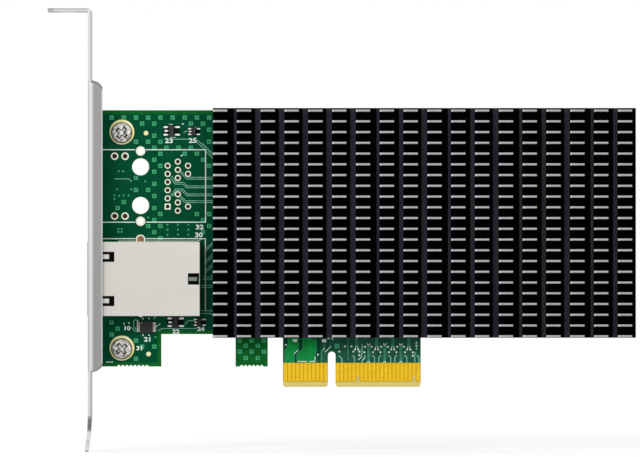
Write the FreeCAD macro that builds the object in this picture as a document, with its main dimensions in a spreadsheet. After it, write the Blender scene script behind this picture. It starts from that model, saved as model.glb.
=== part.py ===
import FreeCAD, Part
import math
import os
import re
import Sketcher

# One-port network interface card for a four-lane expansion slot, in millimetres.
# The board stands on edge as it does in a slot: X runs along the board away from
# the bracket, Z is up, and the component side looks along -Y. The origin is the
# middle of the key notch, at the tips of the edge fingers, halfway through the
# board. "Depth" below is a distance from that mid-plane towards the component
# side, so depth = -Y.

SIZES = {
    # laminate
    "board_thickness": 1.57,
    "board_reach_left": 58.2,
    "board_reach_right": 74.6,
    "board_top": 68.9,
    "board_shoulder": 13.16,
    "ear_bottom": 5.09,
    "wide_ear_reach": 42.44,
    "narrow_ear_reach": 23.94,
    "narrow_ear_width": 8.0,
    "tab_reach_left": 12.15,
    "tab_reach_right": 22.15,
    "tab_corner_cut": 0.5,
    "key_width": 1.9,
    "key_top": 8.8,
    "tip_bevel_height": 1.3,
    "tip_bevel_depth": 0.42,
    "bite_diameter": 0.72,
    "bite_pitch": 1.0,
    "wide_ear_bite_inset": 5.2,
    "wide_ear_bites": 8,
    "narrow_ear_bite_inset": 1.5,
    "narrow_ear_bites": 6,
    # edge fingers
    "finger_pitch": 1.0,
    "finger_width": 0.7,
    "finger_top": 6.0,
    "finger_bottom": 1.42,
    "finger_thickness": 0.05,
    "first_finger_offset": 1.5,
    "fingers_left": 11,
    "fingers_right": 21,
    "short_finger_rise": 1.2,
    # bracket
    "sheet_thickness": 0.86,
    "bracket_reach": 60.5,
    "bracket_top": 94.1,
    "bracket_near_depth": 15.7,
    "bracket_far_depth": 2.72,
    "fold_length": 10.0,
    "fold_corner_radius": 2.2,
    "fold_bend_radius": 1.1,
    "screw_slot_width": 4.4,
    "screw_slot_depth": 5.4,
    "screw_slot_inset": 4.8,
    "shoulder_start_drop": 7.07,
    "shoulder_end_drop": 10.26,
    "tongue_tip_drop": 16.0,
    "tongue_width": 10.2,
    "tongue_first_lean": 0.17,
    "tongue_second_lean": 0.7,
    "tongue_corner_radius": 3.0,
    "flange_reach": 3.64,
    "flange_bottom": 3.83,
    "flange_top": 76.17,
    "flange_droop_width": 2.75,
    "flange_droop_radius": 3.1,
    "lug_width": 5.76,
    # bracket screws
    "screw_reach": 52.3,
    "upper_screw_height": 63.3,
    "lower_screw_height": 9.5,
    "screw_thread": 2.9,
    "screw_clearance": 0.15,
    "thread_gap": 0.03,
    "screw_head": 4.9,
    "screw_head_height": 1.7,
    "screw_length": 2.9,
    "recess_span": 2.9,
    "recess_width": 0.8,
    "recess_depth": 1.0,
    # heat sink
    "sink_reach_left": 29.6,
    "sink_past_end": 1.0,
    "sink_past_top": 0.5,
    "sink_past_shoulder": 0.87,
    "sink_lift": 3.4,
    "sink_base": 2.6,
    "fin_height": 6.4,
    "fin_length": 3.65,
    "fin_column_pitch": 5.91,
    "fin_thickness": 0.68,
    "fin_row_pitch": 2.666,
    "fin_inset_side": 0.14,
    "fin_inset_bottom": 0.08,
    "pedestal_side": 21.0,
    "sink_screw_inset": 6.0,
    "sink_screw_thread": 2.5,
    "sink_screw_grip": 2.4,
    "sink_screw_head": 4.5,
    "sink_screw_head_height": 1.5,
    "standoff_width": 4.8,
    "standoff_wall_left": 0.6,
    # controller under the heat sink
    "controller_reach": 15.0,
    "controller_height": 41.0,
    "substrate_side": 25.0,
    "substrate_thickness": 1.1,
    "lid_side": 20.0,
    "lid_thickness": 1.1,
    "pad_side": 20.0,
    "pad_thickness": 0.5,
    # network socket
    "jack_reach": 60.7,
    "jack_length": 27.9,
    "jack_centre": 26.94,
    "jack_width": 18.37,
    "jack_height": 13.2,
    "shell_sheet": 0.25,
    "jack_fit": 0.05,
    "bracket_window_gap": 0.25,
    "housing_length": 15.6,
    "cavity_width": 11.7,
    "cavity_floor": 3.7,
    "cavity_height": 7.1,
    "cavity_length": 12.5,
    "latch_width": 6.2,
    "latch_drop": 1.7,
    "light_width": 3.2,
    "light_height": 1.7,
    "light_length": 6.0,
    "light_offset": 6.5,
    "light_rise": 11.05,
    "wire_pitch": 1.02,
    "wire_width": 0.4,
    "wire_thickness": 0.3,
    "wire_reach": 9.6,
    "wire_return": 7.0,
    "wire_drop": 2.4,
    "spring_window_length": 5.6,
    "spring_window_width": 2.52,
    "spring_window_offset": 5.48,
    "spring_window_rim": 1.16,
    "spring_width": 1.5,
    "spring_length": 4.3,
    "rear_notch_length": 2.9,
    "rear_notch_width": 2.84,
    # solder footprint shared by the fitted and the empty socket place
    "footprint_pitch": 23.06,
    "peg_reach": 47.6,
    "peg_offset": 4.81,
    "peg_hole": 4.2,
    "peg_clearance": 0.1,
    "shield_hole": 1.5,
    "shield_offset": 8.75,
    "shield_tab_width": 1.1,
    "light_pin_reach": 54.06,
    "light_pin_step": 2.6,
    "light_pin_offset": 7.45,
    "light_pin_hole": 1.0,
    "first_pin_reach": 40.86,
    "pin_column_step": 2.54,
    "pin_half_step": 1.016,
    "pin_hole": 0.84,
    "pin_side": 0.45,
    "pin_tail": 0.9,
    # small parts
    "chip_thickness": 0.9,
    "lead_thickness": 0.15,
    "lead_width": 0.4,
    "lead_length": 0.75,
    "control_chip_side": 3.8,
    "control_chip_reach": 46.15,
    "control_chip_rise": 1.75,
    "control_lead_pitch": 0.65,
    "protector_width": 1.2,
    "protector_height": 2.9,
    "protector_lead_pitch": 0.95,
    "upper_protector_drop": 5.2,
    "upper_protector_reach": 39.9,
    "upper_protector_step": 5.6,
    "lower_protector_rise": 2.95,
    "lower_protector_reach": 38.9,
    "lower_protector_step": 6.0,
    # parts that stand under the heat sink, placed from the key
    "memory_across": -12.0,
    "memory_up": 30.0,
    "memory_width": 6.0,
    "memory_height": 5.0,
    "memory_thickness": 0.8,
    "regulator_across": 40.0,
    "regulator_up": 54.0,
    "regulator_side": 5.0,
    "regulator_thickness": 0.9,
    "coil_across": 48.0,
    "lower_coil_up": 28.0,
    "coil_step": 12.0,
    "coil_side": 7.0,
    "coil_thickness": 2.8,
    "supply_capacitor_across": 59.0,
    "lowest_supply_capacitor_up": 27.0,
    "supply_capacitor_step": 7.0,
    "supply_capacitor_length": 7.3,
    "supply_capacitor_width": 4.3,
    "supply_capacitor_thickness": 2.8,
    "crystal_across": -12.0,
    "crystal_up": 50.0,
    "crystal_width": 3.2,
    "crystal_height": 2.5,
    "crystal_thickness": 0.75,
    "ceramic_length": 1.6,
    "ceramic_width": 0.8,
    "ceramic_thickness": 0.8,
    "ceramic_column_step": 4.4,
    "ceramic_row_step": 2.6,
}

FACE = "board_thickness / 2"
BRACKET_INNER = "-bracket_reach + sheet_thickness"
SINK_UNDERSIDE = "board_thickness / 2 + sink_lift"
SINK_FLOOR = "board_thickness / 2 + sink_lift + sink_base"
JACK_TOP = "board_thickness / 2 + jack_height"

# the heat sink covers the board from beside the sockets to past its far end, and
# carries as many fins as its plate has room for
SINK_LENGTH = "(sink_reach_left + board_reach_right + sink_past_end)"
SINK_BOTTOM = "(board_shoulder - sink_past_shoulder)"
SINK_HEIGHT = f"(board_top + sink_past_top - {SINK_BOTTOM})"
FIN_GAPS_ALONG = f"floor(({SINK_LENGTH} - fin_inset_side - fin_length) / fin_column_pitch)"
FIN_GAPS_UP = f"floor(({SINK_HEIGHT} - fin_inset_bottom - fin_thickness) / fin_row_pitch)"

doc = FreeCAD.newDocument("network_card")
sheet = doc.addObject("Spreadsheet::Sheet", "Sizes")
for row, (alias, number) in enumerate(SIZES.items(), start=1):
    sheet.set(f"A{row}", alias.replace("_", " "))
    sheet.set(f"B{row}", str(number))
    sheet.setAlias(f"B{row}", alias)
doc.recompute()

# small or hidden round forms that repeat are drawn with few sides, to stay light
OPEN_PEG_SIDES = 16
PEG_SIDES = 8
HEAD_SIDES = 16
SHANK_SIDES = 6
BITE_SIDES = 6
DROOP_STEPS = 6
PIN_HOLE_SIDES = 4

# a pocket that takes less than this, in cubic millimetres, points the wrong way
CUT_AT_LEAST = 0.001

nodes = []


def formula(text):
    """An expression on the sheet, written with the bare names of its sizes."""
    def with_sheet(word):
        name = word.group()
        return f"Sizes.{name}" if name in SIZES else name
    return re.sub(r"[a-z_]+", with_sheet, str(text))


def node(shape, label):
    """Names a finished sub-part, so that it is written to its own file."""
    shape.Label = label
    nodes.append(shape)
    return shape


def origin_plane(body, role):
    return next(plane for plane in body.Origin.OriginFeatures if plane.Role == role)


def new_sketch(body, name, role="XZ_Plane", shift="0"):
    """A sketch on one of the body's own planes, moved along that plane's normal.

    On XZ_Plane the sketch's axes are X and Z and its normal is the depth."""
    sketch = body.newObject("Sketcher::SketchObject", name)
    sketch.AttachmentSupport = (origin_plane(body, role), [""])
    sketch.MapMode = "FlatFace"
    sketch.setExpression("AttachmentOffset.Base.z", formula(shift))
    return sketch


def pin_point(sketch, geometry, point, across, up):
    for kind, text in (("DistanceX", across), ("DistanceY", up)):
        rule = sketch.addConstraint(Sketcher.Constraint(kind, -1, 1, geometry, point, 1.0))
        sketch.setExpression(f"Constraints[{rule}]", formula(text))


def add_outline(sketch, corners):
    """A closed run of straight lines through corners, each a pair of formulas."""
    count = len(corners)
    first = sketch.GeometryCount
    turn = 2 * math.pi / count
    ring = [FreeCAD.Vector(math.cos(turn * step), math.sin(turn * step), 0) for step in range(count)]
    for step in range(count):
        sketch.addGeometry(Part.LineSegment(ring[step], ring[(step + 1) % count]), False)
    for step, (across, up) in enumerate(corners):
        ahead = first + (step + 1) % count
        sketch.addConstraint(Sketcher.Constraint("Coincident", first + step, 2, ahead, 1))
        pin_point(sketch, first + step, 1, across, up)


def add_rectangle(sketch, left, bottom, width, height):
    right = f"{left} + {width}"
    top = f"{bottom} + {height}"
    add_outline(sketch, [(left, bottom), (right, bottom), (right, top), (left, top)])


def add_circle(sketch, across, up, diameter):
    circle = sketch.addGeometry(Part.Circle(FreeCAD.Vector(0, 0, 0), FreeCAD.Vector(0, 0, 1), 1), False)
    pin_point(sketch, circle, 3, across, up)
    rule = sketch.addConstraint(Sketcher.Constraint("Diameter", circle, 1.0))
    sketch.setExpression(f"Constraints[{rule}]", formula(diameter))


def add_drilling(sketch, across, up, diameter, sides):
    """A drilled hole with a few flat sides, each of which touches its circle."""
    reach = 0.5 / math.cos(math.pi / sides)
    turns = [2 * math.pi * (step + 0.5) / sides for step in range(sides)]
    add_outline(sketch, [
        (f"{across} + ({reach * math.cos(turn):.6f}) * ({diameter})",
         f"{up} + ({reach * math.sin(turn):.6f}) * ({diameter})")
        for turn in turns
    ])


def pad(body, name, sketch, length):
    feature = body.newObject("PartDesign::Pad", name)
    feature.Profile = sketch
    feature.setExpression("Length", formula(length))
    doc.recompute()
    return feature


def pocket(body, name, sketch, length=None):
    """Cuts both ways through everything, or one way along the sketch's normal."""
    before = body.Shape.Volume
    feature = body.newObject("PartDesign::Pocket", name)
    feature.Profile = sketch
    if length is None:
        feature.Type = "ThroughAll"
        feature.Midplane = True
    else:
        feature.Reversed = True
        feature.setExpression("Length", formula(length))
    doc.recompute()
    if feature.Shape.Volume > before - CUT_AT_LEAST:
        raise RuntimeError(f"{name} cuts nothing")
    return feature


def pattern(body, name, feature, role, pitch, count):
    """Repeats a feature along one of the axes of its own sketch."""
    row = body.newObject("PartDesign::LinearPattern", name)
    row.Originals = [feature]
    row.Direction = (feature.Profile[0], [role])
    row.Mode = "Spacing"
    row.setExpression("Offset", formula(pitch))
    row.setExpression("Occurrences", formula(count))
    body.Tip = row
    doc.recompute()
    return row


def dress_edges(body, kind, name, base, amount, chosen):
    """Rounds or cuts off the edges of a feature that the test picks."""
    edges = [f"Edge{number}" for number, edge in enumerate(base.Shape.Edges, start=1) if chosen(edge)]
    if not edges:
        raise RuntimeError(f"{name} finds no edge")
    feature = body.newObject(f"PartDesign::{kind}", name)
    feature.Base = (base, edges)
    feature.setExpression("Radius" if kind == "Fillet" else "Size", formula(amount))
    doc.recompute()
    return feature


def runs_along(edge, axis):
    """True for a straight edge that is parallel to an axis."""
    if not isinstance(edge.Curve, Part.Line):
        return False
    return abs(abs(edge.Curve.Direction.dot(axis)) - 1) < 1e-6


def size(alias):
    return float(sheet.get(alias))


def near(first, second):
    return abs(first - second) < 1e-4


ALONG_X = FreeCAD.Vector(1, 0, 0)
ALONG_Y = FreeCAD.Vector(0, 1, 0)
ALONG_Z = FreeCAD.Vector(0, 0, 1)


def block(name, left, bottom, depth, length, height, thickness):
    """A box whose lower left corner, at a depth from the mid-plane, is given."""
    box = doc.addObject("Part::Box", name)
    box.setExpression("Length", formula(length))
    box.setExpression("Width", formula(thickness))
    box.setExpression("Height", formula(height))
    box.setExpression("Placement.Base.x", formula(left))
    box.setExpression("Placement.Base.y", formula(f"-({depth}) - ({thickness})"))
    box.setExpression("Placement.Base.z", formula(bottom))
    return box


def centred_block(name, across, up, depth, length, height, thickness):
    left = f"{across} - ({length}) / 2"
    bottom = f"{up} - ({height}) / 2"
    return block(name, left, bottom, depth, length, height, thickness)


def group(label, members):
    """Separate solids of one kind that share a node."""
    compound = doc.addObject("Part::Compound", label)
    compound.Links = members
    return node(compound, label)


def fuse(name, members):
    union = doc.addObject("Part::MultiFuse", name)
    union.Shapes = members
    union.Refine = True
    return union


def cut(name, base, tools):
    cutter = tools[0]
    if len(tools) > 1:
        cutter = doc.addObject("Part::MultiFuse", f"{name}_cutter")
        cutter.Shapes = tools
    result = doc.addObject("Part::Cut", name)
    result.Base = base
    result.Tool = cutter
    return result


# ---------------------------------------------------------------- circuit board

SIGNAL_PIN_COLUMNS = (
    # half steps above the middle of the footprint, column by column
    (5, 3, 1, -1, -3, -5),
    (6, 4, 2, -2, -4, -6),
    (5, 3, -5),
)


def signal_pin_places(centre):
    """The places of a socket's signal pins, as pairs of formulas."""
    for column, rises in enumerate(SIGNAL_PIN_COLUMNS):
        for rise in rises:
            across = f"-first_pin_reach + {column} * pin_column_step"
            yield across, f"{centre} + ({rise}) * pin_half_step"


def light_pin_places(centre):
    for step in (0, 1):
        for side in (-1, 1):
            across = f"-light_pin_reach + {step} * light_pin_step"
            yield across, f"{centre} + ({side}) * light_pin_offset"


def sink_screw_places():
    near_end = "-sink_reach_left + sink_screw_inset"
    far_end = f"-sink_reach_left + {SINK_LENGTH} - sink_screw_inset"
    low = f"{SINK_BOTTOM} + sink_screw_inset"
    high = f"{SINK_BOTTOM} + {SINK_HEIGHT} - sink_screw_inset"
    return [(near_end, low), (near_end, high), (far_end, low), (far_end, high)]


def screw_places():
    return [("-screw_reach", "lower_screw_height"), ("-screw_reach", "upper_screw_height")]


def add_bites(body, name, left):
    """The row of bites that is left where the board was snapped off its panel."""
    sketch = new_sketch(body, f"{name}_sketch")
    add_drilling(sketch, left, "ear_bottom", "bite_diameter", BITE_SIDES)
    bite = pocket(body, name, sketch)
    pattern(body, f"{name}_row", bite, "H_Axis", "bite_pitch", name)


def make_circuit_board():
    body = doc.addObject("PartDesign::Body", "CircuitBoard")
    outline = new_sketch(body, "board_outline", shift=f"-({FACE})")
    add_outline(outline, [
        ("-board_reach_left", "ear_bottom"),
        ("-wide_ear_reach", "ear_bottom"),
        ("-wide_ear_reach", "board_shoulder"),
        ("-narrow_ear_reach", "board_shoulder"),
        ("-narrow_ear_reach", "ear_bottom"),
        ("-narrow_ear_reach + narrow_ear_width", "ear_bottom"),
        ("-narrow_ear_reach + narrow_ear_width", "board_shoulder"),
        ("-tab_reach_left", "board_shoulder"),
        ("-tab_reach_left", "0"),
        ("-key_width / 2", "0"),
        ("-key_width / 2", "key_top - key_width / 2"),
        ("key_width / 2", "key_top - key_width / 2"),
        ("key_width / 2", "0"),
        ("tab_reach_right", "0"),
        ("tab_reach_right", "board_shoulder"),
        ("board_reach_right", "board_shoulder"),
        ("board_reach_right", "board_top"),
        ("-board_reach_left", "board_top"),
    ])
    laminate = pad(body, "laminate", outline, "board_thickness")

    def is_tab_corner(edge):
        return runs_along(edge, ALONG_Y) and near(edge.CenterOfMass.z, 0)

    dress_edges(body, "Chamfer", "tab_corners", laminate, "tab_corner_cut", is_tab_corner)

    key_end = new_sketch(body, "key_end_sketch")
    add_circle(key_end, "0", "key_top - key_width / 2", "key_width")
    pocket(body, "key_end", key_end)

    bevels = new_sketch(body, "bevel_sketch", role="YZ_Plane")
    for side in ("-", ""):
        edge = f"{side}(board_thickness / 2)"
        lip = f"{side}(board_thickness / 2 - tip_bevel_depth)"
        beyond = f"{side}(board_thickness / 2 + tip_bevel_depth)"
        add_outline(bevels, [
            (lip, "0"),
            (edge, "tip_bevel_height"),
            (beyond, "tip_bevel_height"),
            (beyond, "-tip_bevel_depth"),
            (lip, "-tip_bevel_depth"),
        ])
    pocket(body, "tip_bevels", bevels)

    add_bites(body, "wide_ear_bites", "-board_reach_left + wide_ear_bite_inset")
    add_bites(body, "narrow_ear_bites", "-narrow_ear_reach + narrow_ear_bite_inset")

    places = (
        ("fitted", "jack_centre", PEG_SIDES),
        ("empty", "jack_centre + footprint_pitch", OPEN_PEG_SIDES),
    )
    for name, centre, peg_sides in places:
        holes = new_sketch(body, f"{name}_holes_sketch")
        for side in (-1, 1):
            add_drilling(holes, "-peg_reach", f"{centre} + ({side}) * peg_offset", "peg_hole", peg_sides)
            add_drilling(holes, "-peg_reach", f"{centre} + ({side}) * shield_offset", "shield_hole",
                         PEG_SIDES)
        for across, up in light_pin_places(centre):
            add_drilling(holes, across, up, "light_pin_hole", PIN_HOLE_SIDES)
        for across, up in signal_pin_places(centre):
            add_drilling(holes, across, up, "pin_hole", PIN_HOLE_SIDES)
        pocket(body, f"{name}_holes", holes)

    fixings = new_sketch(body, "fixing_holes_sketch")
    for across, up in screw_places():
        add_drilling(fixings, across, up, "screw_thread + 2 * screw_clearance", SHANK_SIDES)
    for across, up in sink_screw_places():
        add_drilling(fixings, across, up, "sink_screw_thread + 2 * screw_clearance", SHANK_SIDES)
    pocket(body, "fixing_holes", fixings)
    return node(body, "circuit_board")


def finger_solids(side, short_places):
    """Gold fingers of one face: eleven left of the key and twenty-one right of it."""
    solids = []
    for direction, count in ((-1, "fingers_left"), (1, "fingers_right")):
        for step in range(int(size(count))):
            centre = f"({direction}) * (first_finger_offset + {step} * finger_pitch)"
            is_short = direction > 0 and step in short_places
            bottom = "finger_bottom + short_finger_rise" if is_short else "finger_bottom"
            depth = FACE if side == "front" else f"-({FACE}) - finger_thickness"
            solids.append(block(f"{side}_finger_{direction + 1}_{step}", f"{centre} - finger_width / 2",
                                bottom, depth, "finger_width", f"finger_top - ({bottom})",
                                "finger_thickness"))
    return solids


# -------------------------------------------------------------------- bracket

def make_bracket():
    body = doc.addObject("PartDesign::Body", "Bracket")
    far_side = "-bracket_far_depth"
    width = "bracket_near_depth + bracket_far_depth"

    # one strip of sheet seen from its edge: top fold, plate and leaning tongue
    side = new_sketch(body, "strip_sketch", shift=far_side)
    shoulder_left = "-bracket_reach - tongue_first_lean"
    tip_left = "-bracket_reach - tongue_first_lean - tongue_second_lean"
    add_outline(side, [
        ("-bracket_reach - fold_length", "bracket_top - sheet_thickness"),
        ("-bracket_reach", "bracket_top - sheet_thickness"),
        ("-bracket_reach", "-shoulder_start_drop"),
        (shoulder_left, "-shoulder_end_drop"),
        (tip_left, "-tongue_tip_drop"),
        (f"{tip_left} + sheet_thickness", "-tongue_tip_drop"),
        (f"{shoulder_left} + sheet_thickness", "-shoulder_end_drop"),
        (BRACKET_INNER, "-shoulder_start_drop"),
        (BRACKET_INNER, "bracket_top"),
        ("-bracket_reach - fold_length", "bracket_top"),
    ])
    strip = pad(body, "strip", side, width)

    def is_fold_bend(edge):
        return (runs_along(edge, ALONG_Y) and near(edge.CenterOfMass.z, size("bracket_top"))
                and near(edge.CenterOfMass.x, size("sheet_thickness") - size("bracket_reach")))

    bend = dress_edges(body, "Fillet", "fold_bend", strip, "fold_bend_radius", is_fold_bend)

    def is_fold_corner(edge):
        end = -size("bracket_reach") - size("fold_length")
        return runs_along(edge, ALONG_Z) and near(edge.CenterOfMass.x, end)

    dress_edges(body, "Fillet", "fold_corners", bend, "fold_corner_radius", is_fold_corner)

    # the tongue is narrower than the plate, with slanting shoulders
    middle = "(bracket_far_depth - bracket_near_depth) / 2"
    shoulders = new_sketch(body, "shoulder_sketch", role="YZ_Plane")
    for turn in ("-", ""):
        inner = f"{middle} + {turn}(tongue_width / 2)"
        outer = f"{middle} + {turn}(({width}) / 2 + sheet_thickness)"
        start = f"{middle} + {turn}(({width}) / 2)"
        below = "-tongue_tip_drop - sheet_thickness"
        add_outline(shoulders, [
            (inner, "-shoulder_end_drop"),
            (start, "-shoulder_start_drop"),
            (outer, "-shoulder_start_drop"),
            (outer, below),
            (inner, below),
        ])
    tongue = pocket(body, "shoulders", shoulders)

    def is_tip_corner(edge):
        along = edge.CenterOfMass
        straight = isinstance(edge.Curve, Part.Line)
        return straight and runs_along(edge, ALONG_X) and near(along.z, -size("tongue_tip_drop")) and \
            near(edge.Length, size("sheet_thickness"))

    dress_edges(body, "Fillet", "tip_corners", tongue, "tongue_corner_radius", is_tip_corner)

    # stiffening flange along the near edge, its two ends rolled off in an arc
    flange = new_sketch(body, "flange_sketch", shift="bracket_near_depth - sheet_thickness")
    free_edge = "-bracket_reach + flange_reach"
    runs = [f"flange_droop_width * {step} / {DROOP_STEPS}" for step in range(DROOP_STEPS + 1)]
    arc = [(f"{free_edge} - flange_droop_width + {run}",
            f"flange_droop_radius - sqrt(flange_droop_radius ^ 2 - ({run}) ^ 2)") for run in runs]
    upper_end = [(across, f"flange_top - ({drop})") for across, drop in arc]
    lower_end = [(across, f"flange_bottom + {drop}") for across, drop in reversed(arc)]
    add_outline(flange, [
        ("-bracket_reach", "flange_bottom"),
        ("-bracket_reach", "flange_top"),
    ] + upper_end + lower_end)
    pad(body, "flange", flange, "sheet_thickness")

    # two lugs behind the board, each with a full round end
    lugs = new_sketch(body, "lug_sketch", shift=f"-({FACE}) - sheet_thickness")
    for across, up in screw_places():
        add_rectangle(lugs, BRACKET_INNER, f"{up} - lug_width / 2",
                      f"{across} - ({BRACKET_INNER})", "lug_width")
    pad(body, "lugs", lugs, "sheet_thickness")
    ends = new_sketch(body, "lug_end_sketch", shift=f"-({FACE}) - sheet_thickness")
    for across, up in screw_places():
        add_circle(ends, across, up, "lug_width")
    pad(body, "lug_ends", ends, "sheet_thickness")
    threads = new_sketch(body, "lug_hole_sketch", shift=f"-({FACE}) - 2 * sheet_thickness")
    for across, up in screw_places():
        add_drilling(threads, across, up, "screw_thread + 2 * thread_gap", SHANK_SIDES)
    pocket(body, "lug_holes", threads, "3 * sheet_thickness")

    # window for the socket, and the open slot for the chassis screw
    window = new_sketch(body, "window_sketch", role="YZ_Plane",
                        shift="-bracket_reach - sheet_thickness")
    add_rectangle(window, f"-({JACK_TOP}) - bracket_window_gap",
                  "jack_centre - jack_width / 2 - bracket_window_gap",
                  f"jack_height + {FACE} + bracket_window_gap + bracket_far_depth / 4",
                  "jack_width + 2 * bracket_window_gap")
    pocket(body, "socket_window", window, "3 * sheet_thickness")
    slot = new_sketch(body, "slot_sketch", role="XY_Plane", shift="bracket_top - 2 * sheet_thickness")
    add_rectangle(slot, "-bracket_reach - screw_slot_inset - screw_slot_width / 2",
                  "bracket_far_depth - screw_slot_depth + screw_slot_width / 2",
                  "screw_slot_width", "screw_slot_depth")
    pocket(body, "slot_sides", slot, "3 * sheet_thickness")
    slot_end = new_sketch(body, "slot_end_sketch", role="XY_Plane",
                          shift="bracket_top - 2 * sheet_thickness")
    add_circle(slot_end, "-bracket_reach - screw_slot_inset",
               "bracket_far_depth - screw_slot_depth + screw_slot_width / 2", "screw_slot_width")
    pocket(body, "slot_end", slot_end, "3 * sheet_thickness")
    return node(body, "bracket")


# --------------------------------------------------------------------- screws

def make_screw(name, across, up, seat, facing, sizes, head_sides):
    """A screw whose head is seated at a depth, its shank running on behind it."""
    thread, length, head, head_height = sizes
    body = doc.addObject("PartDesign::Body", name)
    rim = new_sketch(body, f"{name}_rim")
    add_drilling(rim, "0", "0", head, head_sides)
    pad(body, f"{name}_head", rim, head_height)
    core = new_sketch(body, f"{name}_core", shift=f"-({length})")
    add_drilling(core, "0", "0", thread, SHANK_SIDES)
    pad(body, f"{name}_shank", core, length)
    turn = FreeCAD.Rotation() if facing == "front" else FreeCAD.Rotation(ALONG_Z, 180)
    body.Placement = FreeCAD.Placement(FreeCAD.Vector(0, 0, 0), turn)
    body.setExpression("Placement.Base.x", formula(across))
    body.setExpression("Placement.Base.y", formula(f"-({seat})"))
    body.setExpression("Placement.Base.z", formula(up))
    return body


def add_cross_recess(body, name, head_height):
    recess = new_sketch(body, f"{name}_recess_sketch", shift=f"{head_height} - recess_depth")
    half_span = "recess_span / 2"
    half_width = "recess_width / 2"
    add_outline(recess, [
        (half_width, half_width), (half_width, half_span), (f"-{half_width}", half_span),
        (f"-{half_width}", half_width), (f"-{half_span}", half_width),
        (f"-{half_span}", f"-{half_width}"), (f"-{half_width}", f"-{half_width}"),
        (f"-{half_width}", f"-{half_span}"), (half_width, f"-{half_span}"),
        (half_width, f"-{half_width}"), (half_span, f"-{half_width}"), (half_span, half_width),
    ])
    pocket(body, f"{name}_recess", recess, "recess_depth")


def make_bracket_screws():
    """Two pan-head screws through the board into the bracket's lugs."""
    sizes = ("screw_thread", "screw_length", "screw_head", "screw_head_height")
    screws = []
    for number, (across, up) in enumerate(screw_places()):
        name = f"BracketScrew{number}"
        screw = make_screw(name, across, up, FACE, "front", sizes, HEAD_SIDES)
        add_cross_recess(screw, name, "screw_head_height")
        screws.append(screw)
    group("bracket_screws", screws)


def make_sink_screws():
    """Four hexagon-head screws from the solder side into the heat sink's standoffs."""
    sizes = ("sink_screw_thread", "board_thickness + sink_screw_grip", "sink_screw_head",
             "sink_screw_head_height")
    screws = [make_screw(f"SinkScrew{number}", across, up, f"-({FACE})", "back", sizes, 6)
              for number, (across, up) in enumerate(sink_screw_places())]
    group("heat_sink_screws", screws)


# ------------------------------------------------------------------ heat sink

def make_heat_sink():
    """A finned bar, cut by rows along it and sawn across into short plate fins."""
    body = doc.addObject("PartDesign::Body", "HeatSink")
    base = new_sketch(body, "sink_base_sketch", shift=SINK_UNDERSIDE)
    add_rectangle(base, "-sink_reach_left", SINK_BOTTOM, SINK_LENGTH, SINK_HEIGHT)
    pad(body, "sink_plate", base, "sink_base")

    fin_left = "-sink_reach_left + fin_inset_side"
    fin_bottom = f"{SINK_BOTTOM} + fin_inset_bottom"
    fins_length = f"{FIN_GAPS_ALONG} * fin_column_pitch + fin_length"
    fins_height = f"{FIN_GAPS_UP} * fin_row_pitch + fin_thickness"
    stock = new_sketch(body, "fin_stock_sketch", shift=SINK_FLOOR)
    add_rectangle(stock, fin_left, fin_bottom, fins_length, fins_height)
    pad(body, "fin_stock", stock, "fin_height")

    row = new_sketch(body, "row_gap_sketch", shift=SINK_FLOOR)
    add_rectangle(row, "-sink_reach_left", f"{fin_bottom} + fin_thickness", SINK_LENGTH,
                  "fin_row_pitch - fin_thickness")
    row_gap = pocket(body, "row_gap", row, "fin_height")
    pattern(body, "row_gaps", row_gap, "V_Axis", "fin_row_pitch", FIN_GAPS_UP)

    saw = new_sketch(body, "saw_cut_sketch", shift=SINK_FLOOR)
    add_rectangle(saw, f"{fin_left} + fin_length", SINK_BOTTOM,
                  "fin_column_pitch - fin_length", SINK_HEIGHT)
    saw_cut = pocket(body, "saw_cut", saw, "fin_height")
    pattern(body, "saw_cuts", saw_cut, "H_Axis", "fin_column_pitch", FIN_GAPS_ALONG)

    foot_height = "sink_lift - substrate_thickness - lid_thickness - pad_thickness"
    foot = new_sketch(body, "pedestal_sketch", shift=f"{SINK_UNDERSIDE} - ({foot_height})")
    add_rectangle(foot, "controller_reach - pedestal_side / 2", "controller_height - pedestal_side / 2",
                  "pedestal_side", "pedestal_side")
    pad(body, "pedestal", foot, foot_height)

    return node(body, "heat_sink")


def make_sink_standoffs():
    """Six-sided standoffs, brazed to the heat sink, that the rear screws thread into."""
    standoffs = []
    for number, (across, up) in enumerate(sink_screw_places()):
        body = doc.addObject("PartDesign::Body", f"SinkStandoff{number}")
        flats = new_sketch(body, f"standoff_{number}_flats", shift=FACE)
        add_drilling(flats, across, up, "standoff_width", 6)
        pad(body, f"standoff_{number}_bar", flats, "sink_lift")
        bore = new_sketch(body, f"standoff_{number}_bore_sketch", shift=FACE)
        add_drilling(bore, across, up, "sink_screw_thread + 2 * thread_gap", SHANK_SIDES)
        pocket(body, f"standoff_{number}_bore", bore, "sink_lift - standoff_wall_left")
        standoffs.append(body)
    group("heat_sink_standoffs", standoffs)


def make_controller():
    place = ("controller_reach", "controller_height")
    substrate = centred_block("Substrate", *place, FACE, "substrate_side", "substrate_side",
                              "substrate_thickness")
    node(substrate, "controller_substrate")
    lid = centred_block("Lid", *place, f"{FACE} + substrate_thickness", "lid_side", "lid_side",
                        "lid_thickness")
    node(lid, "controller_lid")
    gap_pad = centred_block("GapPad", *place, f"{FACE} + substrate_thickness + lid_thickness",
                            "pad_side", "pad_side", "pad_thickness")
    node(gap_pad, "thermal_pad")


# ------------------------------------------------------------- network socket

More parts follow.
